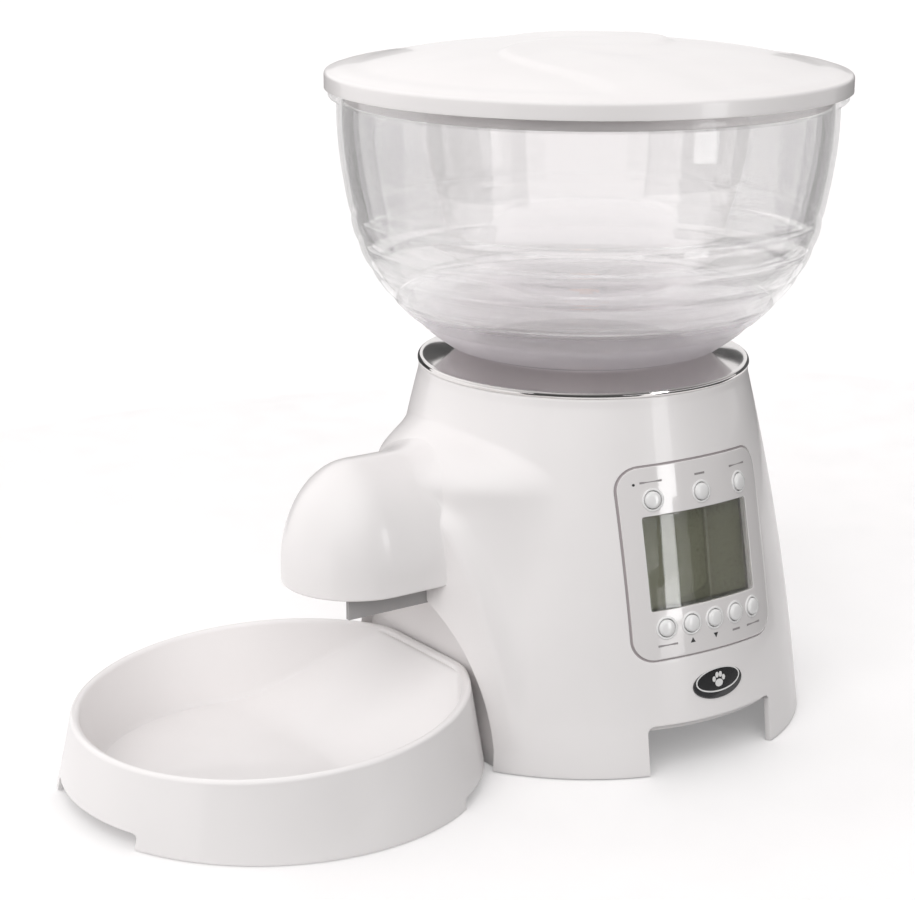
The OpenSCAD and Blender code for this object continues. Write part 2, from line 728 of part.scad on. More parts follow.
at_axis() lid();
at_axis() hopper();
at_axis() collar_ring();
at_axis() housing();
at_axis() spout_cover();
at_axis() feed_chute();
at_axis() metering_drum();
at_axis() outlet_baffle();
at_axis() paddle_hub();
at_axis() paddle_blades();
at_axis() paddle_shaft();
at_axis() shaft_bushing();
at_axis() output_gear();
at_axis() idler_gear();
at_axis() idler_pin();
at_axis() motor_pinion();
at_axis() motor_shaft();
at_axis() motor();
at_axis() motor_screws();
at_axis() gearbox_base();
at_axis() gearbox_cover();
at_axis() gearbox_screws();
at_axis() position_switch();
at_axis() base_plate();
at_axis() base_screws();
at_axis() foot_pads();
at_axis() battery_tray();
at_axis() battery_contacts();
at_axis() battery_door();
at_axis() control_panel();
at_axis() display_lens();
at_axis() display_module();
at_axis() display_backlight();
at_axis() circuit_board();
at_axis() board_screws();
at_axis() key_switches();
at_axis() top_button(0);  // top_button_left
at_axis() top_button(1);  // top_button_middle
at_axis() top_button(2);  // top_button_right
at_axis() lower_button(0);  // lower_button_1
at_axis() lower_button(1);  // lower_button_2
at_axis() lower_button(2);  // lower_button_3
at_axis() lower_button(3);  // lower_button_4
at_axis() lower_button(4);  // lower_button_5
at_axis() badge();
at_axis() food_bowl();
at_axis() bowl_pads();
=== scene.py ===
"""Looks of the automatic pet feeder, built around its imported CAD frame.

Shapes are written in millimetres about the upright axis of the round body, with the bowl
towards -Y and the control panel towards +X. to_world() turns them into metres in the frame.
"""
import json
import math

import bmesh
import bpy
import numpy as np
from mathutils import Matrix, Vector


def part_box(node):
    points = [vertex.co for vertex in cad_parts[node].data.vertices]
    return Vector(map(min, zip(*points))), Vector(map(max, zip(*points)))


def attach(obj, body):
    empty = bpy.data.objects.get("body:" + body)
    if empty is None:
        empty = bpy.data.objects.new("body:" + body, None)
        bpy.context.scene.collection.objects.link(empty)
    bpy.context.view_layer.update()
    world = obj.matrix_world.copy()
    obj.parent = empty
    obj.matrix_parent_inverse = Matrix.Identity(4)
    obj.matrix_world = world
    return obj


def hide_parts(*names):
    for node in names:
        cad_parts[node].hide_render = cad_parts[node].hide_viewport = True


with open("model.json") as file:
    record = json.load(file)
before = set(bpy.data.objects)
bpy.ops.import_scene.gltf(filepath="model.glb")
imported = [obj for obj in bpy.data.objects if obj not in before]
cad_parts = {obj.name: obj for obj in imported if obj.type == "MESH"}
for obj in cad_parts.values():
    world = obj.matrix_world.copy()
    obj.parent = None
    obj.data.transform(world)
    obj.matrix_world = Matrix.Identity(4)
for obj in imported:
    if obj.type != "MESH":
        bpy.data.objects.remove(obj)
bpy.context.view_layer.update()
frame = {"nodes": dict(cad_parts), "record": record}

MM = 0.001
LID_LOW, LID_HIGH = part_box("lid")
AXIS_Y = (LID_LOW.y + LID_HIGH.y) / 2
BIG = 1000.0    # for a keep or distance that never decides


# ---------------------------------------------------------------- camera and studio

CAM_AZIMUTH = math.radians(51.87)
CAM_DISTANCE = 0.9575
CAM_HEIGHT = 0.3809
CAM_PITCH = 0.2755
CAM_YAW = 0.0553
CAM_ROLL = 0.0025
CAM_LENS = 91.3


def add_camera():
    """The camera stands towards the corner between bowl and panel and looks a little down."""
    up = Vector((0, 0, 1))
    back = Vector((math.sin(CAM_AZIMUTH), -math.cos(CAM_AZIMUTH), 0))
    right = Vector((math.cos(CAM_AZIMUTH), math.sin(CAM_AZIMUTH), 0))
    ahead = -back * math.cos(CAM_YAW) - right * math.sin(CAM_YAW)
    right = right * math.cos(CAM_YAW) - back * math.sin(CAM_YAW)
    ahead = ahead * math.cos(CAM_PITCH) - up * math.sin(CAM_PITCH)
    above = right.cross(ahead)
    x_axis = right * math.cos(CAM_ROLL) + above * math.sin(CAM_ROLL)
    y_axis = above * math.cos(CAM_ROLL) - right * math.sin(CAM_ROLL)
    data = bpy.data.cameras.new("camera")
    data.lens = CAM_LENS
    data.sensor_width = 36.0
    data.clip_start = 0.01
    camera = bpy.data.objects.new("camera", data)
    place = back * CAM_DISTANCE + up * CAM_HEIGHT + Vector((0, AXIS_Y, 0))
    camera.matrix_world = Matrix((
        (x_axis.x, y_axis.x, -ahead.x, place.x),
        (x_axis.y, y_axis.y, -ahead.y, place.y),
        (x_axis.z, y_axis.z, -ahead.z, place.z),
        (0, 0, 0, 1)))
    bpy.context.scene.collection.objects.link(camera)
    bpy.context.scene.camera = camera


WORLD_TOWARDS = (-0.90, -0.14, 0.41)
WORLD_DIM = 0.02
WORLD_BRIGHT = 1.13
STRIP_PLACE = (0.974, AXIS_Y + 0.239, 0.24)
STRIP_TARGET = (0, AXIS_Y, 0.14)
STRIP_SIZE = (0.20, 0.46)
STRIP_POWER = 1.4
SUN_TOWARDS = (-0.55, 0.55, -0.62)
SUN_POWER = 1.6
SUN_SPREAD = math.radians(60)
FLOOR_SIZE = 40
FLOOR_GLOW = 0.22
BACKDROP_R = 19.0
BACKDROP_H = 12.0
SHADE_R = 0.13
# name, first and last angle from +X in degrees, distance from the body's axis and height in metres
FLAGS = (
    ("flag_left", 155, 200, 0.55, 0.33),
    ("flag_front", -69, -12, 0.62, 0.33),
    ("flag_panel", 9.5, 75, 0.25, 0.125),
    ("flag_bowl", -75, -2, 0.25, 0.125),
    ("flag_right", 84, 129, 0.62, 0.33),
)


def add_lamp(name, kind, towards):
    """A lamp that shines along a direction. Returns its object and its settings."""
    data = bpy.data.lights.new(name, kind)
    lamp = bpy.data.objects.new(name, data)
    lamp.rotation_euler = towards.to_track_quat("-Z", "Y").to_euler()
    bpy.context.scene.collection.objects.link(lamp)
    return lamp, data


def add_strip():
    """A tall soft box beyond the panel, whose mirror image is the bright band down the housing."""
    place = Vector(STRIP_PLACE)
    lamp, data = add_lamp("strip", "AREA", Vector(STRIP_TARGET) - place)
    lamp.location = place
    data.shape = "RECTANGLE"
    data.size, data.size_y = STRIP_SIZE
    data.energy = STRIP_POWER


def add_sun():
    """Broad light from above the camera, which leaves no mirror image of its own."""
    lamp, data = add_lamp("sun", "SUN", Vector(SUN_TOWARDS))
    data.energy = SUN_POWER
    data.angle = SUN_SPREAD
    lamp.visible_glossy = False


def add_world():
    """White surroundings that are dimmer on the control panel's side."""
    world = bpy.data.worlds.new("studio")
    bpy.context.scene.world = world
    world.use_nodes = True
    tree = world.node_tree
    place = tree.nodes.new("ShaderNodeTexCoord")
    side = tree.nodes.new("ShaderNodeVectorMath")
    side.operation = "DOT_PRODUCT"
    side.inputs[1].default_value = WORLD_TOWARDS
    level = tree.nodes.new("ShaderNodeMapRange")
    level.inputs["From Min"].default_value = -1.0
    level.inputs["From Max"].default_value = 1.0
    level.inputs["To Min"].default_value = WORLD_DIM
    level.inputs["To Max"].default_value = WORLD_BRIGHT
    background = tree.nodes["Background"]
    background.inputs["Color"].default_value = (1.0, 0.985, 0.985, 1)
    tree.links.new(place.outputs["Generated"], side.inputs[0])
    tree.links.new(side.outputs["Value"], level.inputs["Value"])
    tree.links.new(level.outputs["Result"], background.inputs["Strength"])


def glowing(name, colour, roughness, glow_colour, glow, grain=90):
    material = plastic(name, colour, roughness, grain=grain)
    shader = material.node_tree.nodes["Principled BSDF"]
    shader.inputs["Emission Color"].default_value = (*glow_colour, 1)
    shader.inputs["Emission Strength"].default_value = glow
    return material


def ring_wall(name, start, stop, steps, distance, low, high):
    """An upright curved wall about the body's axis, between two angles in degrees."""
    points, faces = [], []
    for a in np.radians(np.linspace(start, stop, steps + 1)):
        x, y = distance * math.cos(a), distance * math.sin(a) + AXIS_Y
        points += [(x, y, low), (x, y, high)]
    for i in range(steps):
        faces.append((2 * i, 2 * i + 2, 2 * i + 3, 2 * i + 1))
    mesh = bpy.data.meshes.new(name)
    mesh.from_pydata(points, [], faces)
    wall = bpy.data.objects.new(name, mesh)
    bpy.context.scene.collection.objects.link(wall)
    return wall


def add_backdrop():
    """A white wall far off, which closes the floor in every view and lights nothing."""
    wall = ring_wall("backdrop", 0, 360, 60, BACKDROP_R, -0.1, BACKDROP_H)
    wall.data.materials.append(glowing("backdrop_white", (0, 0, 0), 1.0, (1, 1, 1), 1.0))
    wall.visible_diffuse = False
    wall.visible_glossy = False
    wall.visible_shadow = False


def add_shade():
    """A dark disc under the floor, which keeps the light from below out of the hollow base."""
    bpy.ops.mesh.primitive_circle_add(vertices=48, radius=SHADE_R, fill_type="NGON",
                                      location=(0, AXIS_Y, -0.001))
    disc = bpy.context.active_object
    disc.name = "shade"
    disc.data.materials.append(plastic("shade_dark", (0.12, 0.12, 0.12), 0.9))
    disc.visible_camera = False
    disc.visible_glossy = False
    disc.visible_transmission = False
    disc.visible_shadow = False


def add_floor():
    """White paper, which takes shadows but throws no light back onto the feeder."""
    bpy.ops.mesh.primitive_plane_add(size=FLOOR_SIZE, location=(0, 0, 0))
    floor = bpy.context.active_object
    floor.name = "floor"
    paper = glowing("floor_paper", (0.80, 0.79, 0.79), 0.7, (1, 0.99, 0.99), FLOOR_GLOW, grain=40)
    floor.data.materials.append(paper)
    floor.visible_diffuse = False


def add_flag(name, start, stop, distance, height):
    """A curved dark card, seen only in gloss and clear plastic, which outlines the edges."""
    card = ring_wall(name, start, stop, 12, distance, 0, height)
    card.data.materials.append(plastic(name, (0.10, 0.10, 0.10), 0.9))
    card.visible_camera = False
    card.visible_diffuse = False
    card.visible_shadow = False


def add_studio():
    add_world()
    add_backdrop()
    add_strip()
    add_sun()
    add_shade()
    add_floor()
    for flag in FLAGS:
        add_flag(*flag)


# ---------------------------------------------------------------- materials

def new_material(name):
    material = bpy.data.materials.new(name)
    material.use_nodes = True
    tree = material.node_tree
    return material, tree, tree.nodes["Principled BSDF"]


def noise(tree, scale, detail=3.0, stretch=(1, 1, 1)):
    """A noise that is fixed to the object's own metres."""
    place = tree.nodes.new("ShaderNodeTexCoord")
    mapping = tree.nodes.new("ShaderNodeMapping")
    mapping.inputs["Scale"].default_value = stretch
    texture = tree.nodes.new("ShaderNodeTexNoise")
    texture.inputs["Scale"].default_value = scale
    texture.inputs["Detail"].default_value = detail
    tree.links.new(place.outputs["Object"], mapping.inputs["Vector"])
    tree.links.new(mapping.outputs["Vector"], texture.inputs["Vector"])
    return texture.outputs["Fac"]


def spread(tree, value, low, high):
    """Maps a noise of about 0.3 to 0.7 onto low to high."""
    node = tree.nodes.new("ShaderNodeMapRange")
    node.inputs["From Min"].default_value = 0.3
    node.inputs["From Max"].default_value = 0.7
    node.inputs["To Min"].default_value = low
    node.inputs["To Max"].default_value = high
    tree.links.new(value, node.inputs["Value"])
    return node.outputs["Result"]


def mixed(tree, factor, first, second):
    node = tree.nodes.new("ShaderNodeMix")
    node.data_type = "RGBA"
    node.inputs["A"].default_value = (*first, 1)
    node.inputs["B"].default_value = (*second, 1)
    tree.links.new(factor, node.inputs["Factor"])
    return node.outputs["Result"]


def tinted(tree, value, dark, light):
    return mixed(tree, spread(tree, value, 0, 1), dark, light)


def bumped(tree, shader, value, depth, strength=1.0):
    node = tree.nodes.new("ShaderNodeBump")
    node.inputs["Distance"].default_value = depth
    node.inputs["Strength"].default_value = strength
    tree.links.new(value, node.inputs["Height"])
    tree.links.new(node.outputs["Normal"], shader.inputs["Normal"])


def plastic(name, colour, roughness, grain=90, bump=0.00002, mottle=0.02, coat=0.0):
    """Moulded plastic: a faint mottle in colour and gloss and a fine skin."""
    material, tree, shader = new_material(name)
    dark = tuple(c * (1 - mottle) for c in colour)
    light = tuple(min(1, c * (1 + mottle)) for c in colour)
    tree.links.new(tinted(tree, noise(tree, 18), dark, light), shader.inputs["Base Color"])
    gloss = spread(tree, noise(tree, 45), roughness * 0.85, roughness * 1.15)
    tree.links.new(gloss, shader.inputs["Roughness"])
    bumped(tree, shader, noise(tree, grain * 10, 2), bump, 0.6)
    shader.inputs["Coat Weight"].default_value = coat
    shader.inputs["Coat Roughness"].default_value = 0.03
    return material


def metal(name, colour, roughness, brushed=(1, 1, 1)):
    """Bare or plated metal; brushed stretches its grain along an axis."""
    material, tree, shader = new_material(name)
    dark = tuple(c * 0.94 for c in colour)
    tree.links.new(tinted(tree, noise(tree, 30, stretch=brushed), dark, colour), shader.inputs["Base Color"])
    gloss = spread(tree, noise(tree, 160, stretch=brushed), roughness * 0.8, roughness * 1.2)
    tree.links.new(gloss, shader.inputs["Roughness"])
    bumped(tree, shader, noise(tree, 900, 2, brushed), 0.00001, 0.5)
    shader.inputs["Metallic"].default_value = 1.0
    return material


def clear(name, centre, rim, roughness, cover, wave=0.0, mirror=1.5):
    """Clear moulded plastic, with painted shade: its colour turns darker where it is seen edge on.

    cover is how much of it refracts, and mirror is the index of its coat, which sets its shine.
    """
    material, tree, shader = new_material(name)
    facing_ratio = tree.nodes.new("ShaderNodeLayerWeight")
    facing_ratio.inputs["Blend"].default_value = 0.25
    # painted shade: the rim colour darkens the plastic seen edge on, in place of the dark edges that
    # reflection and refraction give
    colour = mixed(tree, facing_ratio.outputs["Facing"], centre, rim)
    tree.links.new(colour, shader.inputs["Base Color"])
    gloss = spread(tree, noise(tree, 60), roughness * 0.6, roughness * 1.4)
    tree.links.new(gloss, shader.inputs["Roughness"])
    shader.inputs["Transmission Weight"].default_value = 1.0
    shader.inputs["IOR"].default_value = 1.49
    shader.inputs["Alpha"].default_value = cover
    shader.inputs["Coat Weight"].default_value = 1.0
    shader.inputs["Coat Roughness"].default_value = 0.02
    shader.inputs["Coat IOR"].default_value = mirror
    if wave:
        bumped(tree, shader, noise(tree, 25, 2), wave, 1.0)
    return material


# the neck is milky up to MILKY_Z and clears up to CLEAR_Z, both in metres
MILKY_Z = 0.160
CLEAR_Z = 0.181


def frosted(name, colour):
    """Milky plastic that lets some light through and clears towards the top."""
    material = plastic(name, colour, 0.45, coat=0.2)
    tree = material.node_tree
    shader = tree.nodes["Principled BSDF"]
    place = tree.nodes.new("ShaderNodeTexCoord")
    height = tree.nodes.new("ShaderNodeSeparateXYZ")
    fade = tree.nodes.new("ShaderNodeMapRange")
    fade.interpolation_type = "SMOOTHSTEP"
    fade.inputs["From Min"].default_value = MILKY_Z
    fade.inputs["From Max"].default_value = CLEAR_Z
    fade.inputs["To Min"].default_value = 0.85
    fade.inputs["To Max"].default_value = 0.20
    tree.links.new(place.outputs["Object"], height.inputs["Vector"])
    tree.links.new(height.outputs["Z"], fade.inputs["Value"])
    tree.links.new(fade.outputs["Result"], shader.inputs["Alpha"])
    shader.inputs["Transmission Weight"].default_value = 0.45
    shader.inputs["IOR"].default_value = 1.3
    return material


def display_material():
    """Grey-green display film: slow vertical bands and a fine grain in its gloss."""
    material, tree, shader = new_material("display_lcd")
    bands = noise(tree, 40, 1, (1, 1, 0.1))
    colour = tinted(tree, bands, (0.155, 0.155, 0.10), (0.26, 0.26, 0.19))
    tree.links.new(colour, shader.inputs["Base Color"])
    tree.links.new(spread(tree, noise(tree, 700, 1), 0.25, 0.4), shader.inputs["Roughness"])
    return material


def board_material():
    """Green solder mask, lighter along the tracks under it."""
    material, tree, shader = new_material("board_green")
    tracks = noise(tree, 220, 0, (1, 1, 4))
    colour = tinted(tree, tracks, (0.01, 0.09, 0.03), (0.03, 0.22, 0.08))
    tree.links.new(colour, shader.inputs["Base Color"])
    bumped(tree, shader, tracks, 0.00003)
    shader.inputs["Roughness"].default_value = 0.35
    return material


WHITE = (0.87, 0.845, 0.84)


def make_materials():
    return {
        "white_shell": plastic("white_shell", WHITE, 0.33, coat=0.3),
        # the second colour of clear_hopper and display_glass is painted shade for where they are seen edge
        # on
        "clear_hopper": clear("clear_hopper", (0.84, 0.815, 0.82), (0.45, 0.43, 0.43), 0.04, 0.32,
                              wave=0.00003),
        "frosted_neck": frosted("frosted_neck", (0.93, 0.89, 0.92)),
        # painted shade: the feed chute is the same white plastic, greyed for the shadow under the spout hood
        "chute_grey": plastic("chute_grey", (0.36, 0.35, 0.35), 0.4),
        # painted shade: the lip round the panel is white plastic, greyed for the shade in the groove
        "lip_painted_shade": plastic("lip_painted_shade", (0.42, 0.38, 0.39), 0.5),
        "chrome_trim": metal("chrome_trim", (0.80, 0.78, 0.77), 0.09),
        "panel_gloss": plastic("panel_gloss", (0.80, 0.775, 0.77), 0.12, coat=1.0, mottle=0.01),
        "button_caps": plastic("button_caps", (0.85, 0.845, 0.84), 0.16, coat=0.5),
        "display_glass": clear("display_glass", (0.95, 0.96, 0.94), (0.8, 0.8, 0.8), 0.015, 0.4,
                               mirror=1.9),
        "display_lcd": display_material(),
        "backlight": plastic("backlight", (0.8, 0.8, 0.74), 0.5),
        "board_green": board_material(),
        "inner_white": plastic("inner_white", (0.72, 0.715, 0.71), 0.4),
        "gear_acetal": plastic("gear_acetal", (0.82, 0.8, 0.7), 0.35),
        "paddle_hub": plastic("paddle_hub", (0.75, 0.3, 0.08), 0.4),
        "blade_rubber": plastic("blade_rubber", (0.05, 0.05, 0.055), 0.6),
        "pad_rubber": plastic("pad_rubber", (0.2, 0.2, 0.2), 0.75, bump=0.00005),
        "steel": metal("steel", (0.6, 0.6, 0.61), 0.28, (1, 1, 0.2)),
        "brass": metal("brass", (0.72, 0.52, 0.25), 0.25),
        "black_plastic": plastic("black_plastic", (0.015, 0.015, 0.016), 0.4),
        "badge_dark": plastic("badge_dark", (0.02, 0.02, 0.022), 0.2, coat=0.6),
        "panel_print": plastic("mark_grey", (0.3, 0.28, 0.28), 0.4),
        "mark_dark": plastic("mark_dark", (0.03, 0.03, 0.03), 0.4),
    }


# ---------------------------------------------------------------- mesh helpers

def to_world(points):
    points = np.asarray(points, float).reshape(-1, 3)
    return points * MM + np.array((0, AXIS_Y, 0))


def smooth_max(a, b, k):
    h = np.clip(0.5 + 0.5 * (a - b) / k, 0, 1)
    return b + (a - b) * h + k * h * (1 - h)


def smooth_min(a, b, k):
    return -smooth_max(-a, -b, k)


def ease(t):
    t = np.clip(t, 0, 1)
    return t * t * (3 - 2 * t)


def bezier(points, t):
    a, b, c, d = (np.array(p, float) for p in points)
    return (1 - t) ** 3 * a + 3 * t * (1 - t) ** 2 * b + 3 * t * t * (1 - t) * c + t ** 3 * d


def rounded_box(p, q, half_p, half_q, corner):
    """Signed distance from a rounded rectangle, negative inside."""
    a = np.abs(p) - half_p + corner
    b = np.abs(q) - half_q + corner
    outside = np.hypot(np.maximum(a, 0), np.maximum(b, 0))
    return outside + np.minimum(np.maximum(a, b), 0) - corner


def patch(us, vs, shape, keep=None, wrap=False):
    """A sheet of quads over us by vs, cut along the line where keep is 0.

    shape(u, v) gives x, y, z in mm, and keep(x, y, z) is positive where the sheet stays. Grid
    points near the cut move onto it, and quads that the cut crosses are clipped to it.
    """
    u, v = np.meshgrid(np.asarray(us, float), np.asarray(vs, float), indexing="ij")
    nu, nv = u.shape
    if keep is None:
        value = np.ones(nu * nv)
    else:
        du = np.gradient(u, axis=0)
        dv = np.gradient(v, axis=1)
        dv[:, 0] = dv[:, -1] = 1e-9
        if not wrap:
            du[0, :] = du[-1, :] = 1e-9
        for _ in range(2):
            f = keep(*shape(u, v))
            fu = (keep(*shape(u + 0.02 * du, v)) - f) / 0.02
            fv = (keep(*shape(u, v + 0.02 * dv)) - f) / 0.02
            slope = fu * fu + fv * fv + 1e-12
            near = np.where(f * f < 0.1 * slope, -f / slope, 0)
            u = u + near * fu * du
            v = v + near * fv * dv
        value = keep(*shape(u, v)).ravel()
        value[np.abs(value) < 0.02] = 0
    uv = [tuple(p) for p in np.stack((u.ravel(), v.ravel()), -1)]
    crossings = {}

    def crossing(a, b):
        key = (min(a, b), max(a, b))
        if key not in crossings:
            low, high = key
            t = value[low] / (value[low] - value[high])
            crossings[key] = len(uv)
            uv.append(tuple(uv[low][i] + (uv[high][i] - uv[low][i]) * t for i in (0, 1)))
        return crossings[key]

    faces = []
    for i in range(nu if wrap else nu - 1):
        j = (i + 1) % nu
        for k in range(nv - 1):
            ring = (i * nv + k, j * nv + k, j * nv + k + 1, i * nv + k + 1)
            signs = [value[c] for c in ring]
            if max(signs) <= 0:
                continue
            if min(signs) >= 0:
                faces.append(ring)
                continue
            face = []
            for a, b in zip(ring, ring[1:] + ring[:1]):
                if value[a] >= 0:
                    face.append(a)
                if value[a] * value[b] < 0:
                    face.append(crossing(a, b))
            if len(face) > 2:
                faces.append(tuple(face))
    uv = np.array(uv)
    points = np.stack(np.broadcast_arrays(*shape(uv[:, 0], uv[:, 1])), -1)
    return points, faces


def turned_faces(steps, count, closed=True):
    """The quads between one copy of a profile of count points and the next, all the way round."""
    faces = []
    for i in range(steps):
        j = (i + 1) % steps
        for k in range(count if closed else count - 1):
            m = (k + 1) % count
            faces.append((i * count + k, j * count + k, j * count + m, i * count + m))
    return faces


def lathe(profile, steps):
    """A closed outline of (r, z) points turned about the body's axis."""
    points = []
    for i in range(steps):
        a = 2 * math.pi * i / steps
        points += [(r * math.sin(a), -r * math.cos(a), z) for r, z in profile]
    return np.array(points), turned_faces(steps, len(profile))


def joined(*parts):
    points, faces, start = [], [], 0
    for some_points, some_faces in parts:
        points.append(some_points)
        faces += [tuple(c + start for c in face) for face in some_faces]
        start += len(some_points)
    return np.concatenate(points), faces


def to_bmesh(points, faces):
    bm = bmesh.new()
    verts = [bm.verts.new(p) for p in to_world(points)]
    for face in faces:
        if len(set(face)) == len(face):
            bm.faces.new([verts[c] for c in face])
    bmesh.ops.delete(bm, geom=[v for v in bm.verts if not v.link_faces], context="VERTS")
    bmesh.ops.remove_doubles(bm, verts=bm.verts, dist=1e-6)
    bmesh.ops.dissolve_degenerate(bm, dist=1e-7, edges=bm.edges)
    bmesh.ops.recalc_face_normals(bm, faces=bm.faces)
    return bm


def piece(name, bm, body, slot, replaces=(), thick=0.0, round_by=0.0, material=None):
    """Turns a bmesh into a finished piece: wall thickness, rounded edges, material, body."""
    mesh = bpy.data.meshes.new(name)
    bm.to_mesh(mesh)
    bm.free()
    obj = bpy.data.objects.new(name, mesh)
    bpy.context.scene.collection.objects.link(obj)
    if thick:
        shell = obj.modifiers.new("wall", "SOLIDIFY")
        shell.thickness = thick * MM
        shell.offset = -1
        shell.use_even_offset = True
    if round_by:
        bevel = obj.modifiers.new("edges", "BEVEL")
        bevel.width = round_by * MM
        bevel.segments = 3
        bevel.limit_method = "ANGLE"
        bevel.angle_limit = math.radians(50)
    if obj.modifiers:
        graph = bpy.context.evaluated_depsgraph_get()
        obj.data = bpy.data.meshes.new_from_object(obj.evaluated_get(graph))
        obj.modifiers.clear()
    obj.data.shade_smooth()
    obj.data.set_sharp_from_angle(angle=math.radians(38))
    obj.data.materials.clear()
    obj.data.materials.append(material or MATERIALS[slot])
    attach(obj, body)
    if replaces:
        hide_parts(*replaces)


def facing(bm, outward):
    """Flips the whole sheet if most of its faces look against outward(centre)."""
    score = sum(f.normal.dot(outward(f.calc_center_median())) * f.calc_area() for f in bm.faces)
    if score < 0:
        bmesh.ops.reverse_faces(bm, faces=bm.faces)


def close_middle(bm, centre):
    """Fills the small hole that a patch leaves round its centre."""
    rim = [e for e in bm.edges if e.is_boundary]
    near = [e for e in rim if all((v.co - centre).xy.length < 0.01 for v in e.verts)]
    bmesh.ops.holes_fill(bm, edges=near)


def from_axis(point):
    return Vector((point.x, point.y - AXIS_Y, 0))


# ---------------------------------------------------------------- housing

HOUSING_H = 151.0
FOOT_Z = 0.6
BULGE_R = 95.0
SHOULDER_Y = 45.0
SHOULDER_R = 50.0
SHOULDER_Z = 112.0
SHOULDER_RISE = 24.0
RECESS_HALF_W = 50.0
RECESS_H = 74.0
RECESS_Y = -79.0
SLOT_HALF_W = 20.7
SLOT_LOW = 66.3
SLOT_HIGH = 116.0
CUTOUT_HALF_W = 32.5
CUTOUT_H = 20.7

# the body is nearly a cone, which leans in a little faster as it rises
CONE_FOOT_R = 96.0
CONE_LEAN = 0.105
CONE_CURVE = 0.0005
CONE_MIN_R = 69.5
TOP_EDGE_Z = 150.2
TOP_EDGE_R = 0.8
TOP_EDGE_RUN = 1.2

PANEL_Z = 86.75
PANEL_TILT = math.atan(CONE_LEAN + 2 * CONE_CURVE * PANEL_Z)
PANEL_HALF_W = 36.0
PANEL_HALF_H = 39.0
PANEL_CORNER = 9
PANEL_GAP = 0.75

# half width at the foot and height of the three arches that bound the sheet over the bowl
CHAMFER_ARCH = (56, 117)
CREASE_ARCH = (60, 125)
EDGE_ARCH = (62, 141)
CREASE_DROP = 0.62
APRON_FADES_Z = 98
APRON_FADE_H = 24


def cone_r(z):
    return CONE_FOOT_R - CONE_LEAN * z - CONE_CURVE * z * z


PANEL_X = cone_r(PANEL_Z)


def arc_width(z, half_w, height, power=2):
    return half_w * np.sqrt(np.clip(1 - (np.clip(z, 0, height) / height) ** power, 0, 1))


def apron(x, z):
    """How far the sheet over the bowl stands off the cone, 1 on the sheet and 0 on the cone."""
    chamfer = arc_width(z, *CHAMFER_ARCH)
    crease = arc_width(z, *CREASE_ARCH)
    edge = arc_width(z, *EDGE_ARCH, power=4)
    total = 0
    # the average over a few shifts rounds the creases
    shifts = (-0.7, -0.35, 0, 0.35, 0.7)
    for shift in shifts:
        across = np.abs(x) + shift
        down = np.clip((across - chamfer) / np.maximum(crease - chamfer, 0.5), 0, 1)
        out = np.clip((across - crease) / np.maximum(edge - crease, 0.5), 0, 1)
        total = total + 1 - CREASE_DROP * down - (1 - CREASE_DROP) * (1 - (1 - out) ** 2)
    return total / len(shifts) * (1 - ease((z - APRON_FADES_Z) / APRON_FADE_H))


def housing_r(angle, z):
    """Radius of the housing at an angle from the front, in radians."""
    cone = np.maximum(cone_r(z), CONE_MIN_R)
    front = np.cos(angle)
    sheet = cone + (BULGE_R - cone) * np.where(front > 0, apron(BULGE_R * np.sin(angle), z), 0)
    sheet = np.where(BULGE_R > cone, sheet, cone)
    lift = np.clip((z - SHOULDER_Z) / SHOULDER_RISE, 0, 1)
    cap_r = SHOULDER_R * np.sqrt(1 - lift * lift)
    inside = cap_r ** 2 - (SHOULDER_Y * np.sin(angle)) ** 2
    cap = np.where((inside > 0) & (front > 0), SHOULDER_Y * front + np.sqrt(np.maximum(inside, 0)), 0)
    return smooth_max(sheet, cap, 9.0)


def housing_shape(u, v):
    """u is degrees from the front, v is height and then distance in over the top edge."""
    angle = np.radians(u)
    turn = np.clip((v - TOP_EDGE_Z) / TOP_EDGE_RUN, 0, 1) * math.pi / 2
    z = np.minimum(v, TOP_EDGE_Z) + TOP_EDGE_R * np.sin(turn)
    past_edge = np.maximum(v - TOP_EDGE_Z - TOP_EDGE_RUN, 0)
    r = housing_r(angle, z) - TOP_EDGE_R * (1 - np.cos(turn)) - past_edge
    return r * np.sin(angle), -r * np.cos(angle), z


def recess_keep(x, y, z):
    arch = ((x / RECESS_HALF_W) ** 2 + (z / RECESS_H) ** 2 - 1) * 25
    slot = rounded_box(x, z - (SLOT_LOW + SLOT_HIGH) / 2, SLOT_HALF_W, (SLOT_HIGH - SLOT_LOW) / 2, 0.5)
    return np.where(y < -60, np.minimum(arch, slot), BIG)


def panel_coords(x, y, z):
    """Across, up the slope and out of the panel's own plane."""
    up = -(x - PANEL_X) * math.sin(PANEL_TILT) + (z - PANEL_Z) * math.cos(PANEL_TILT)
    out = (x - PANEL_X) * math.cos(PANEL_TILT) + (z - PANEL_Z) * math.sin(PANEL_TILT)
    return y, up, out


def panel_keep(x, y, z, grow):
    across, up, _ = panel_coords(x, y, z)
    return rounded_box(across, up, PANEL_HALF_W + grow, PANEL_HALF_H + grow, PANEL_CORNER + grow)


def foot_keep(x, y, z):
    """Cut-outs in the foot at both sides and the back; their boxes start below the floor."""
    side = rounded_box(y, z + 30, CUTOUT_HALF_W, CUTOUT_H + 30, 3)
    back = rounded_box(x, z + 30, CUTOUT_HALF_W, CUTOUT_H + 30, 3)
    return np.minimum(np.where(np.abs(x) > 60, side, BIG), np.where(y > 60, back, BIG))


def housing_keep(x, y, z):
    window = np.where(x > 0, panel_keep(x, y, z, PANEL_GAP), BIG)
    return np.minimum(np.minimum(recess_keep(x, y, z), window), foot_keep(x, y, z))


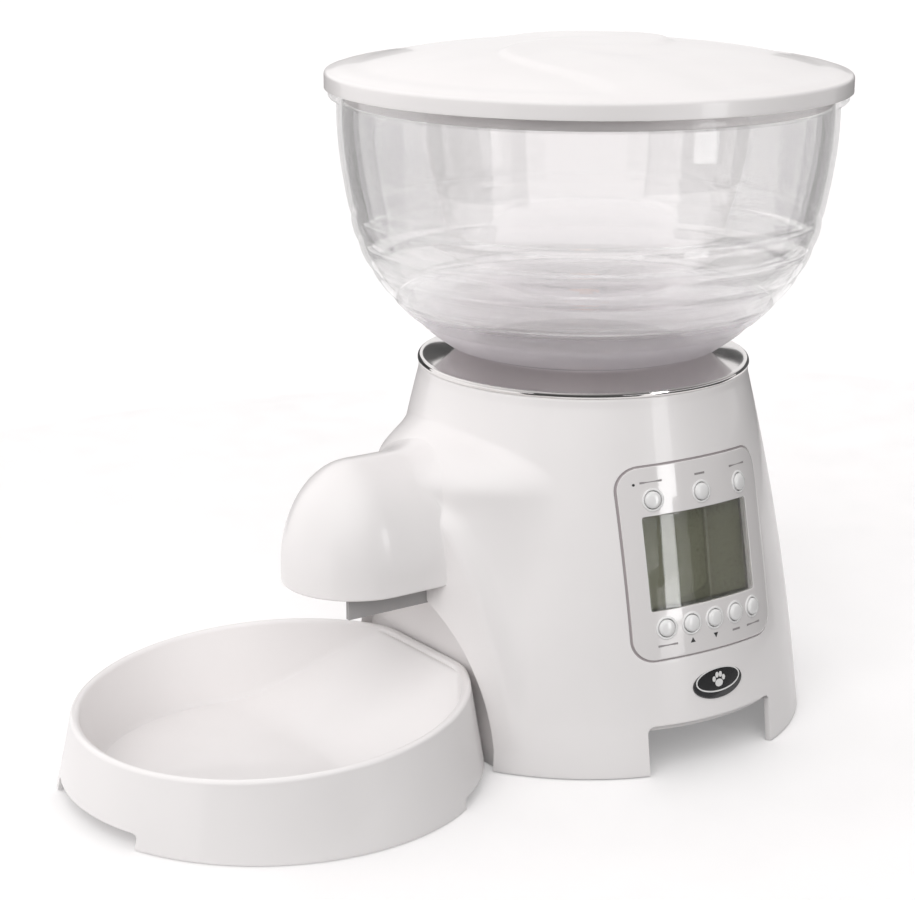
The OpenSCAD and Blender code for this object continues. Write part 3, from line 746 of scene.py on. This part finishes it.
def build_housing():
    angles = np.concatenate((np.arange(-64, 64, 0.8), np.arange(64, 116, 0.9), np.arange(116, 295.5, 1.6)))
    wall = (np.arange(FOOT_Z, 118, 1.4), np.arange(118, 142, 0.6), np.arange(142, 150, 1.6))
    over_edge = TOP_EDGE_Z + np.array((0, 0.4, 0.8, 1.2, 4.8, 11.8, 19.8))
    heights = np.concatenate((*wall, over_edge))
    bm = to_bmesh(*patch(angles, heights, housing_shape, housing_keep, wrap=True))
    facing(bm, from_axis)
    line_recess(bm)
    bmesh.ops.recalc_face_normals(bm, faces=bm.faces)
    facing(bm, from_axis)
    piece("housing_shell", bm, "base", "white_shell", ["housing"], thick=2.5, round_by=0.7)


def line_recess(bm):
    """Takes the edge of the bowl recess straight back to its rear wall and closes the wall."""
    back = RECESS_Y * MM + AXIS_Y

    def on_recess(v):
        x, y, z = v.co.x / MM, (v.co.y - AXIS_Y) / MM, v.co.z / MM
        return y < -70 and abs(recess_keep(np.array(x), np.array(y), np.array(z))) < 0.25 and z < 117

    edges = [e for e in bm.edges if e.is_boundary and on_recess(e.verts[0]) and on_recess(e.verts[1])]
    made = bmesh.ops.extrude_edge_only(bm, edges=edges)["geom"]
    rear = [g for g in made if isinstance(g, bmesh.types.BMVert)]
    for v in rear:
        v.co.y = back
    low = [v for v in rear if v.co.z < (SLOT_LOW + 1.6) * MM and abs(v.co.x) > (SLOT_HALF_W - 0.2) * MM]
    left = sorted((v for v in low if v.co.x < 0), key=lambda v: v.co.z)
    right = sorted((v for v in low if v.co.x > 0), key=lambda v: -v.co.z)
    sill = [bm.verts.new((s * SLOT_HALF_W * MM, back, SLOT_LOW * MM)) for s in (-1, 1)]
    bm.faces.new(left + sill + right)


# ---------------------------------------------------------------- spout

SPOUT_Y = -115.0
SPOUT_R = 30.0
SPOUT_BACK = -84.0
SPOUT_RIM = 75.5
SPOUT_SPRING = 82.0
SPOUT_TOP = 125.5
SPOUT_RISE = SPOUT_TOP - SPOUT_SPRING


def spout_shape(u, v):
    """u runs round the plan from the left back to the right back, v up the wall and over."""
    over = np.clip(v - 1, 0, 1) * math.pi / 2
    r = SPOUT_R * np.cos(over)
    z = np.where(v < 1, SPOUT_RIM + (SPOUT_SPRING - SPOUT_RIM) * v, SPOUT_SPRING + SPOUT_RISE * np.sin(over))
    turn = np.clip(u, 0, 1) * math.pi
    behind = (SPOUT_BACK - SPOUT_Y) * (np.maximum(-u, 0) + np.maximum(u - 1, 0))
    return -r * np.cos(turn), SPOUT_Y - r * np.sin(turn) + behind, z


def build_spout():
    us = np.concatenate((np.linspace(-1, 0, 12)[:-1], np.linspace(0, 1, 60), np.linspace(1, 2, 12)[1:]))
    vs = np.concatenate((np.linspace(0, 1, 8)[:-1], np.linspace(1, 2, 48)))
    bm = to_bmesh(*patch(us, vs, spout_shape))
    middle = Vector((0, SPOUT_Y * MM + AXIS_Y, 0.08))
    facing(bm, lambda p: p - middle)
    piece("spout_hood", bm, "base", "white_shell", ["spout_cover"], thick=2.2, round_by=0.8)


FILLET_NARROW = 1.0
FILLET_WIDE = 9.0
FILLET_WIDENS_Z = 106


def off_housing(p):
    """How far a point stands off the housing, measured from the body's axis."""
    return math.hypot(p.x, p.y) - float(housing_r(math.atan2(p.x, -p.y), p.z))


def housing_normal(p):
    steps = (Vector((0.3, 0, 0)), Vector((0, 0.3, 0)), Vector((0, 0, 0.3)))
    return Vector([off_housing(p + d) - off_housing(p - d) for d in steps]).normalized()


def build_fillet():
    """A hollow curve that runs the hood into the shoulder, wide over the top and narrow at the sides."""
    across, along = 64, 12
    points = []
    for i in range(across + 1):
        over = math.pi * (0.02 + 0.96 * i / across)
        x, z = SPOUT_R * math.cos(over), SPOUT_SPRING + SPOUT_RISE * math.sin(over)
        front, back = -125.0, -70.0
        for _ in range(30):
            middle = (front + back) / 2
            front, back = (middle, back) if off_housing(Vector((x, middle, z))) > 0 else (front, middle)
        corner = Vector((x, front, z))
        widen = float(ease((z - FILLET_WIDENS_Z) / 14))
        width = FILLET_NARROW + (FILLET_WIDE - FILLET_NARROW) * widen
        hood_out = Vector((math.cos(over) / SPOUT_R, 0, math.sin(over) / SPOUT_RISE)).normalized()
        house_out = housing_normal(corner)
        up = house_out.cross(hood_out.cross(house_out)).normalized()
        end = corner + up * width
        for _ in range(3):
            end -= housing_normal(end) * off_housing(end) * 0.8
        out = housing_normal(end)
        back_to = corner - end
        back_to = (back_to - out * back_to.dot(out)).normalized()
        start = corner - Vector((0, width, 0)) - hood_out * 0.05
        end -= out * 0.05
        ring = (start, start + Vector((0, 0.6 * width, 0)), end + back_to * 0.6 * width, end)
        points += [tuple(bezier(ring, k / along)) for k in range(along + 1)]
    row = along + 1
    faces = [(i * row + k, i * row + k + 1, (i + 1) * row + k + 1, (i + 1) * row + k)
             for i in range(across) for k in range(along)]
    bm = to_bmesh(np.array(points), faces)
    facing(bm, lambda p: Vector((p.x, 0, p.z - 0.09)))
    piece("spout_fillet", bm, "base", "white_shell", thick=1.0)


# ---------------------------------------------------------------- hopper, collar and lid

BIN_R = 98.2
BIN_Z = 216
RIM_R = 103
RIM_Z = 260.4
RIM_TOP_Z = 268
FLARE_H = 40
HOPPER_CURVE = ((58.5, 160.5), (75.5, 172.4), (95.0, 190), (BIN_R, BIN_Z))
RING_PITCH = 11.0
RING_DEPTH = 0.95
RING_TOP = 214.0
HOPPER_WALL = 2.2
NECK_R = 46.5
FUNNEL_Z = 157.7
FROST_Z = 178.0


def hopper_ripple(z):
    """Soft rings round the lower half, one groove each RING_PITCH."""
    groove = (1 - abs(math.sin(math.pi * (RING_TOP - z) / RING_PITCH))) ** 2
    fade = float(ease((z - 160) / 8)) * float(ease((RING_TOP + 4 - z) / 3))
    return -RING_DEPTH * groove * fade


def hopper_curve(z_low, z_high):
    """Points of the hopper's round wall between two heights."""
    points = [bezier(HOPPER_CURVE, i / 120) for i in range(121)]
    return [(r + hopper_ripple(z), z) for r, z in points if z_low <= z <= z_high]


def hopper_outline():
    """Outer wall of the clear bin, from the frosted zone up to its straight rim."""
    wall = hopper_curve(FROST_Z, BIN_Z)
    for i in range(1, 36):
        z = BIN_Z + (RIM_Z - BIN_Z) * i / 35
        flare = math.sin(min(1, (z - BIN_Z) / FLARE_H) * math.pi / 2)
        wall.append((BIN_R + (RIM_R - BIN_R) * flare, z))
    return wall


def neck_outline():
    """Outer wall of the neck, the funnel that spreads from it and the frosted foot of the bin."""
    wall = [(NECK_R, 143.3), (NECK_R, 155.5), (NECK_R + 0.4, 156.9), (NECK_R + 1.7, FUNNEL_Z)]
    wall_r, wall_z = HOPPER_CURVE[0]
    funnel_r = wall[-1][0]
    for i in range(1, 5):
        out = funnel_r + (wall_r - funnel_r) * i / 5
        wall.append((out, FUNNEL_Z + (wall_z - FUNNEL_Z) * (i / 5) ** 1.4))
    return wall + hopper_curve(0, FROST_Z)


def offset_inward(wall, distance):
    inner = []
    for i, (r, z) in enumerate(wall):
        before = wall[max(i - 1, 0)]
        after = wall[min(i + 1, len(wall) - 1)]
        along = Vector((after[0] - before[0], after[1] - before[1])).normalized()
        inner.append((r - along.y * distance, z + along.x * distance))
    return inner


def build_hopper():
    """The clear bin with its rim flange, and the frosted neck under it."""
    wall = hopper_outline()
    flange = [(RIM_R, 260.7), (104.4, 261.5), (106.0, 262.5), (106.4, 263.0), (106.4, 265.2),
              (106.1, 265.6), (103.4, 265.6), (RIM_R, 266.0), (RIM_R, RIM_TOP_Z)]
    inner = offset_inward(wall + [(RIM_R, RIM_TOP_Z)], HOPPER_WALL)
    bm = to_bmesh(*lathe(wall + flange + inner[::-1], 192))
    piece("hopper_bin", bm, "hopper_assembly", "clear_hopper", ["hopper"], round_by=0.4)
    neck = neck_outline()
    bm = to_bmesh(*lathe(neck + offset_inward(neck, HOPPER_WALL)[::-1], 160))
    piece("hopper_neck", bm, "hopper_assembly", "clear_hopper", round_by=0.4,
          material=MATERIALS["frosted_neck"])


COLLAR_R = 68.6
COLLAR_BORE_R = 46.9
SEAT_R = 50.0
SEAT_H = 6.0
BAND_H = 2.7


def build_collar():
    """A plated dish: a rounded band round its edge, and a shallow hollow up to the hopper's seat."""
    h = HOUSING_H
    band = []
    for t in np.linspace(0.2, 3.0, 15):
        band.append((COLLAR_R + 0.4 + 0.9 * math.sin(t), h + BAND_H * (1 - math.cos(t)) / 2))
    dish = []
    for t in np.linspace(0, 1, 21):
        dish.append((COLLAR_R - (COLLAR_R - SEAT_R) * t, h + 2.6 + (SEAT_H - 2.6) * t ** 1.3))
    seat = [(48.5, h + SEAT_H + 0.1), (COLLAR_BORE_R, h + SEAT_H)]
    profile = [(COLLAR_BORE_R, h), (COLLAR_R, h)] + band + dish + seat
    bm = to_bmesh(*lathe(profile, 192))
    piece("collar_dish", bm, "base", "chrome_trim", ["collar_ring"])


LID_R = 108.0
LID_LOW_Z = 266.0
LID_EDGE_Z = 273.0
LID_EDGE_R = 1.6
LID_DOME = 11.0
LID_POWER = 3.4
RELIEF_H = 1.5


def lid_relief(x, y):
    """Two swirling lobes, each with a crisp leading edge and a soft trailing one."""
    height = 0
    r = np.hypot(x, y) + 1e-6
    for turn in (0, math.pi):
        angle = np.degrees(np.mod(np.arctan2(y, x) + turn + math.pi / 6, 2 * math.pi)) - 30
        lead = 145 - 169 * np.clip(1 - r / 100, 0, 1) ** 1.8
        crisp = ease((angle - lead) * math.pi / 180 * r / 9)
        soft = ease((178 - angle) * math.pi / 180 * r / 30)
        height = height + crisp * soft
    return RELIEF_H * (height - 1) * ease((r - 14) / 25) * ease((104.5 - r) / 12)


def lid_shape(u, v):
    turn = np.clip(v - 1, 0, 1) * math.pi / 2
    r = np.where(v < 1, LID_R, LID_R - LID_EDGE_R * (1 - np.cos(turn)))
    r = np.where(v > 2, (LID_R - LID_EDGE_R) * (3 - v), r)
    x, y = r * np.sin(np.radians(u)), -r * np.cos(np.radians(u))
    edge = LID_EDGE_Z - LID_EDGE_R
    z = np.where(v < 1, LID_LOW_Z + (edge - LID_LOW_Z) * v, edge + LID_EDGE_R * np.sin(turn))
    dome = LID_DOME * (1 - (r / (LID_R - LID_EDGE_R)) ** LID_POWER)
    return x, y, np.where(v > 2, LID_EDGE_Z + dome + lid_relief(x, y), z)


def build_lid():
    top = 3 - np.linspace(1, 0.004, 90)
    vs = np.concatenate((np.linspace(0, 1, 6)[:-1], np.linspace(1, 2, 7), top[1:]))
    points, faces = patch(np.arange(0, 360, 1.5), vs, lid_shape, wrap=True)
    bm = to_bmesh(points, faces)
    close_middle(bm, Vector((0, AXIS_Y, 0)))
    facing(bm, lambda p: Vector((p.x, p.y - AXIS_Y, 0.3)))
    piece("lid_top", bm, "lid_body", "white_shell", ["lid"], thick=2.2, round_by=0.5)
    ring = [(98.2, 261.4), (98.6, 261), (100.0, 261), (100.4, 261.4), (100.4, 271.5), (98.2, 271.5)]
    piece("lid_plug_ring", to_bmesh(*lathe(ring, 128)), "lid_body", "white_shell")


# ---------------------------------------------------------------- food bowl

BOWL_Y = -155.2
BOWL_BACK = 75.2
BOWL_R = 80.0
BOWL_FOOT_R = 86.0
BOWL_RIM_Z = 34.7
RIM_SLOPE = 0.0646
BEAD = 1.9
BOWL_WALL_FOOT_R = 71.0
BOWL_CORE_R = 60.0
FLOOR_Z = 4.0
FRONT_NOTCH_HALF_W = 33
FRONT_NOTCH_H = 6.3
SIDE_NOTCH_ANGLE = 137
SIDE_NOTCH_HALF_W = 25
SIDE_NOTCH_H = 4.6
RAMP_FOOT_Y = -137.0
RAMP_RUN = 46.7
RAMP_RISE = 27.5
RAMP_TOP_Z = 38.2


def bowl_plan(radius, angle):
    """Distance from the bowl's centre to its outline, straight across the back."""
    facing_back = -np.cos(angle)
    flat = BOWL_BACK - (BOWL_R - np.clip(radius, BOWL_CORE_R, BOWL_R))
    straight = np.where(facing_back > 0.3, flat / np.maximum(facing_back, 0.3), BIG)
    outline = smooth_min(np.maximum(radius, BOWL_CORE_R), straight, 2.0)
    return outline * np.minimum(radius, BOWL_CORE_R) / BOWL_CORE_R


def ramp_z(y):
    run = np.maximum(y - RAMP_FOOT_Y, 0) / RAMP_RUN
    return smooth_min(FLOOR_Z + RAMP_RISE * run ** 1.8, RAMP_TOP_Z + 0 * y, 2.0)


def bowl_shape(u, v):
    """u is degrees from the front. v: 0-1 up the skirt, 1-2 over the bead, 2-3 in to the centre."""
    angle = np.radians(u)
    skirt = BOWL_FOOT_R - (BOWL_FOOT_R - BOWL_R) * np.clip(v, 0, 1)
    over = np.clip(v - 1, 0, 1) * math.pi
    bead = BOWL_R - BEAD + BEAD * np.cos(over)
    inward = (BOWL_R - 2 * BEAD) * (3 - v)
    radius = np.where(v < 1, skirt, np.where(v < 2, bead, inward))
    plan = bowl_plan(radius, angle)
    x, y = plan * np.sin(angle), BOWL_Y - plan * np.cos(angle)
    rim = BOWL_RIM_Z + RIM_SLOPE * (y - BOWL_Y) - BEAD
    up_wall = (radius - BOWL_WALL_FOOT_R) / (BOWL_R - 2 * BEAD - BOWL_WALL_FOOT_R)
    wall = FLOOR_Z + up_wall * (rim - FLOOR_Z)
    inner = smooth_max(ramp_z(y), np.minimum(wall, rim), 4.0)
    inner = np.minimum(inner, rim + 0.2 * np.maximum(v - 2, 0))
    z = np.where(v < 1, FOOT_Z + (rim - FOOT_Z) * v, np.where(v < 2, rim + BEAD * np.sin(over), inner))
    return x, y, z


def bowl_keep(x, y, z):
    """Notches in the foot of the skirt: one in front, one at each side towards the back."""
    angle = np.degrees(np.arctan2(np.abs(x), -(y - BOWL_Y)))
    outside = np.hypot(x, y - BOWL_Y) > 78.5
    front = rounded_box(x, z + 20, FRONT_NOTCH_HALF_W, FRONT_NOTCH_H + 20, 2)
    along = (angle - SIDE_NOTCH_ANGLE) * 1.5
    side = rounded_box(along, z + 20, SIDE_NOTCH_HALF_W, SIDE_NOTCH_H + 20, 2)
    notch = np.minimum(np.where(angle < 60, front, BIG), np.where(angle > 90, side, BIG))
    return np.where(outside & (z < 15), notch, BIG)


def build_bowl():
    inner = 3 - np.concatenate((np.linspace(1, 0.84, 30)[1:], np.linspace(0.84, 0.01, 60)[1:]))
    vs = np.concatenate((np.linspace(0, 1, 26)[:-1], np.linspace(1, 2, 13), inner))
    points, faces = patch(np.arange(0, 360, 1.25), vs, bowl_shape, bowl_keep, wrap=True)
    bm = to_bmesh(points, faces)
    centre = Vector((0, BOWL_Y * MM + AXIS_Y, 0))
    close_middle(bm, centre)
    facing(bm, lambda p: Vector((p.x, p.y - centre.y, 0.06)) if p.z > 0.03 else Vector((0, 0, 1)))
    piece("bowl_shell", bm, "bowl_body", "white_shell", ["food_bowl"], thick=1.5, round_by=0.4)


# ---------------------------------------------------------------- control panel

WINDOW_Y = -1.0
WINDOW_HALF_W = 26.8
WINDOW_HALF_H = 19.2
TOP_ROW_Z = 25.6
LOW_ROW_Z = -26.4
TOP_ROW = (-22.5, 0.0, 22.5)
LOW_ROW = (-22.0, -10.8, 0.8, 12.4, 23.6)
CAP_R = 3.5
CAP_TOP = 1.75
RING_R = 4.25
LCD_OUT = -8.25
# how far out of the cone's surface the faces and the prints lie
FACE_OUT = 0.5
LENS_OUT = 0.45
BADGE_OUT = 0.42
CAP_OUT = 0.3
PRINT_OUT = 0.56
PAW_OUT = 0.47

BADGE_Y = 0.8
BADGE_Z = 34.2
BADGE_HALF_W = 13.0
BADGE_HALF_H = 6.3


def skin_shape(offset):
    """The cone's surface, moved out by offset: u is mm across, v is mm up the panel's slope."""
    def shape(u, v):
        z = PANEL_Z + v * math.cos(PANEL_TILT)
        z = z - (np.sqrt(np.maximum(cone_r(z) ** 2 - u * u, 1)) - cone_r(z)) * 0.18
        r = cone_r(z) + offset
        return np.sqrt(np.maximum(r * r - u * u, 1)), u + 0 * v, z
    return shape


def skin_point(across, up, offset):
    """The point of the skin at a place on the panel, and the direction straight out of it."""
    shape = skin_shape(offset)
    v = up
    for _ in range(4):
        x, y, z = (float(c) for c in shape(np.array(across), np.array(v)))
        v += up - panel_coords(x, y, z)[1]
    here = Vector((x, y, z))
    normal = Vector((x, y, 0)).normalized()
    normal.z = CONE_LEAN + 2 * CONE_CURVE * z
    return here, normal.normalized()


def buttons():
    """Name of the CAD node, and place across and up the panel."""
    names = ("left", "middle", "right")
    found = [(f"top_button_{n}", y, TOP_ROW_Z) for n, y in zip(names, TOP_ROW)]
    return found + [(f"lower_button_{i + 1}", y, LOW_ROW_Z) for i, y in enumerate(LOW_ROW)]


def panel_face_keep(x, y, z):
    across, up, _ = panel_coords(x, y, z)
    keep = -panel_keep(x, y, z, -0.1)
    keep = np.minimum(keep, rounded_box(across - WINDOW_Y, up, WINDOW_HALF_W, WINDOW_HALF_H, 0.8))
    for _, y0, z0 in buttons():
        keep = np.minimum(keep, np.hypot(across - y0, up - z0) - CAP_R - 0.35)
    return keep


def turned_on(profile, place, normal, closed=False):
    """A small turned shape whose axis is the skin's normal; profile is (r, height) points."""
    steps = 40
    side = normal.orthogonal().normalized()
    other = normal.cross(side)
    points = []
    for i in range(steps):
        a = 2 * math.pi * i / steps
        for r, h in profile:
            points.append(place + (side * math.cos(a) + other * math.sin(a)) * r + normal * h)
    return np.array([tuple(p) for p in points]), turned_faces(steps, len(profile), closed)


def build_panel():
    us = np.arange(-PANEL_HALF_W - 1, PANEL_HALF_W + 1.01, 0.8)
    vs = np.arange(-PANEL_HALF_H - 2, PANEL_HALF_H + 2.01, 0.8)
    bm = to_bmesh(*patch(us, vs, skin_shape(FACE_OUT), panel_face_keep))
    facing(bm, from_axis)
    piece("panel_face", bm, "base", "panel_gloss", ["control_panel"], thick=2.6, round_by=0.55)

    def lip_keep(x, y, z):
        return np.minimum(panel_keep(x, y, z, -1.2), -panel_keep(x, y, z, 2.2))
    wide = np.arange(-PANEL_HALF_W - 4, PANEL_HALF_W + 4.01, 0.8)
    tall = np.arange(-PANEL_HALF_H - 5, PANEL_HALF_H + 5.01, 0.8)
    bm = to_bmesh(*patch(wide, tall, skin_shape(-0.75), lip_keep))
    facing(bm, from_axis)
    # the lip's grey is painted shade for the groove it sits in; the lip itself is white
    piece("panel_lip", bm, "base", "panel_gloss", thick=0.8, material=MATERIALS["lip_painted_shade"])
    rings = []
    turns = np.linspace(0, 2 * math.pi, 13)[:-1]
    profile = [(RING_R + 0.5 * math.cos(t), 0.38 * math.sin(t)) for t in turns]
    for _, y0, z0 in buttons():
        place, normal = skin_point(y0, z0, FACE_OUT)
        rings.append(turned_on(profile, place, normal, closed=True))
    piece("button_rings", to_bmesh(*joined(*rings)), "base", "button_caps")


def build_caps():
    profile = [(0.02, CAP_TOP)]
    for t in np.linspace(0.15, 1.35, 9):
        profile.append((2.9 * math.sin(t), CAP_TOP - 0.5 * (1 - math.cos(t))))
    profile += [(3.25, 1.15), (3.45, 0.8), (CAP_R, 0.4), (CAP_R, -4.0), (0.02, -4.0)]
    for name, y0, z0 in buttons():
        place, normal = skin_point(y0, z0, CAP_OUT)
        bm = to_bmesh(*turned_on(profile, place, normal))
        bmesh.ops.holes_fill(bm, edges=[e for e in bm.edges if e.is_boundary])
        bmesh.ops.recalc_face_normals(bm, faces=bm.faces)
        piece("cap_" + name, bm, name + "_body", "button_caps", [name])


def build_display():
    def lens_keep(x, y, z):
        across, up, _ = panel_coords(x, y, z)
        return -rounded_box(across - WINDOW_Y, up, WINDOW_HALF_W - 0.08, WINDOW_HALF_H - 0.08, 0.7)
    us = np.arange(-WINDOW_HALF_W - 2, WINDOW_HALF_W + 2.01, 1.0)
    vs = np.arange(-WINDOW_HALF_H - 2, WINDOW_HALF_H + 2.01, 1.0)
    bm = to_bmesh(*patch(us, vs, skin_shape(LENS_OUT), lens_keep))
    facing(bm, from_axis)
    piece("display_window", bm, "base", "display_glass", ["display_lens"], thick=1.2, round_by=0.15)

    def wall_shape(u, v):
        ring = np.array(bar_outline(WINDOW_HALF_W + 0.02, WINDOW_HALF_H + 0.02))
        whole = np.floor(u).astype(int) % 4
        part = (u - np.floor(u))[..., None]
        at = ring[whole] * (1 - part) + ring[(whole + 1) % 4] * part
        across, up = at[..., 0] + WINDOW_Y, at[..., 1]
        sag = np.sqrt(np.maximum(PANEL_X ** 2 - across ** 2, 1)) - PANEL_X
        out = LCD_OUT + (sag - 0.9 - LCD_OUT) * v
        c, s = math.cos(PANEL_TILT), math.sin(PANEL_TILT)
        return PANEL_X + out * c - up * s, across, PANEL_Z + out * s + up * c
    bm = to_bmesh(*patch(np.arange(0, 4, 0.1), (0, 0.5, 1), wall_shape, wrap=True))
    middle = Vector((PANEL_X * MM, AXIS_Y, PANEL_Z * MM))
    facing(bm, lambda p: middle - p)
    piece("display_gasket", bm, "base", "black_plastic", thick=0.6)


def flat_mark(outline, y0, z0, offset):
    """A printed mark: a thin fan over an outline of (across, up) points."""
    points = [tuple(skin_point(y0 + a, z0 + b, offset)[0]) for a, b in outline]
    points.append(tuple(skin_point(y0, z0, offset + 0.01)[0]))
    count = len(outline)
    return np.array(points), [(i, (i + 1) % count, count) for i in range(count)]


def bar_outline(half_w, half_h=0.42):
    return [(-half_w, -half_h), (half_w, -half_h), (half_w, half_h), (-half_w, half_h)]


def circle_outline(rx, ry=None, steps=24):
    ry = ry or rx
    turns = [2 * math.pi * i / steps for i in range(steps)]
    return [(rx * math.cos(t), ry * math.sin(t)) for t in turns]


def build_marks():
    """Plain bars where words would be, two arrows and a microphone dot."""
    over_top, under_low = TOP_ROW_Z + 7.3, LOW_ROW_Z - 7.0
    places = [(y0, over_top) for y0 in TOP_ROW]
    places += [(LOW_ROW[i], under_low) for i in (0, 3, 4)]
    half_widths = (4.6, 2.6, 5.2, 4.2, 2.2, 4.4)
    bars = [flat_mark(bar_outline(w), *place, PRINT_OUT) for w, place in zip(half_widths, places)]
    piece("panel_marks", to_bmesh(*joined(*bars)), "base", "panel_print", thick=0.03)
    arrow = [(-1.15, -0.9), (1.15, -0.9), (0.0, 1.2)]
    down = [(-a, -b) for a, b in arrow]
    dark = [flat_mark(arrow, LOW_ROW[1], under_low, PRINT_OUT),
            flat_mark(down, LOW_ROW[2], under_low, PRINT_OUT),
            flat_mark(circle_outline(0.55), TOP_ROW[0] - 7.0, TOP_ROW_Z + 6.9, PRINT_OUT)]
    piece("panel_arrows", to_bmesh(*joined(*dark)), "base", "panel_print", thick=0.03,
          material=MATERIALS["mark_dark"])


def build_badge():
    """A plain dark oval with a light rim line and a paw."""
    up0 = (BADGE_Z - PANEL_Z) / math.cos(PANEL_TILT) + 1.6

    def oval_keep(x, y, z):
        across, up = (y - BADGE_Y) / BADGE_HALF_W, (z - BADGE_Z) / BADGE_HALF_H
        return 6 * (1 - across ** 2 - up ** 2)
    us, vs = np.arange(-14, 15.6, 0.5), np.arange(up0 - 9, up0 + 9, 0.5)
    bm = to_bmesh(*patch(us, vs, skin_shape(BADGE_OUT), oval_keep))
    facing(bm, from_axis)
    piece("badge_oval", bm, "base", "badge_dark", ["badge"], thick=0.4, round_by=0.15)
    light = [flat_mark(circle_outline(2.0, 1.6), BADGE_Y, up0 - 1.5, PAW_OUT)]
    for side in (-1, 1):
        for ry, out, up in ((1.15, 2.5, 0.4), (1.2, 0.9, 1.9)):
            light.append(flat_mark(circle_outline(0.85, ry), BADGE_Y + side * out, up0 + up, PAW_OUT))
    steps = 72
    outlines = circle_outline(11.6, 5.1, steps) + circle_outline(11.0, 4.5, steps)
    rim = [tuple(skin_point(BADGE_Y + a, up0 + b, PAW_OUT + 0.01)[0]) for a, b in outlines]
    after = [(i + 1) % steps for i in range(steps)]
    light.append((np.array(rim), [(i, j, steps + j, steps + i) for i, j in enumerate(after)]))
    piece("badge_paw", to_bmesh(*joined(*light)), "base", "button_caps", thick=0.05)


# ---------------------------------------------------------------- everything

add_camera()
MATERIALS = make_materials()
add_studio()

SLOT_OF = {s["node"]: s["material_slot"] for s in frame["record"]["subparts"]}
for node, obj in frame["nodes"].items():
    material = MATERIALS[SLOT_OF[node]]
    if not obj.material_slots:
        obj.data.materials.append(material)
    for slot in obj.material_slots:
        slot.material = material

build_housing()
build_spout()
build_fillet()
build_hopper()
build_collar()
build_lid()
build_bowl()
build_panel()
build_caps()
build_display()
build_marks()
build_badge()

bpy.context.scene.view_settings.view_transform = "Standard"
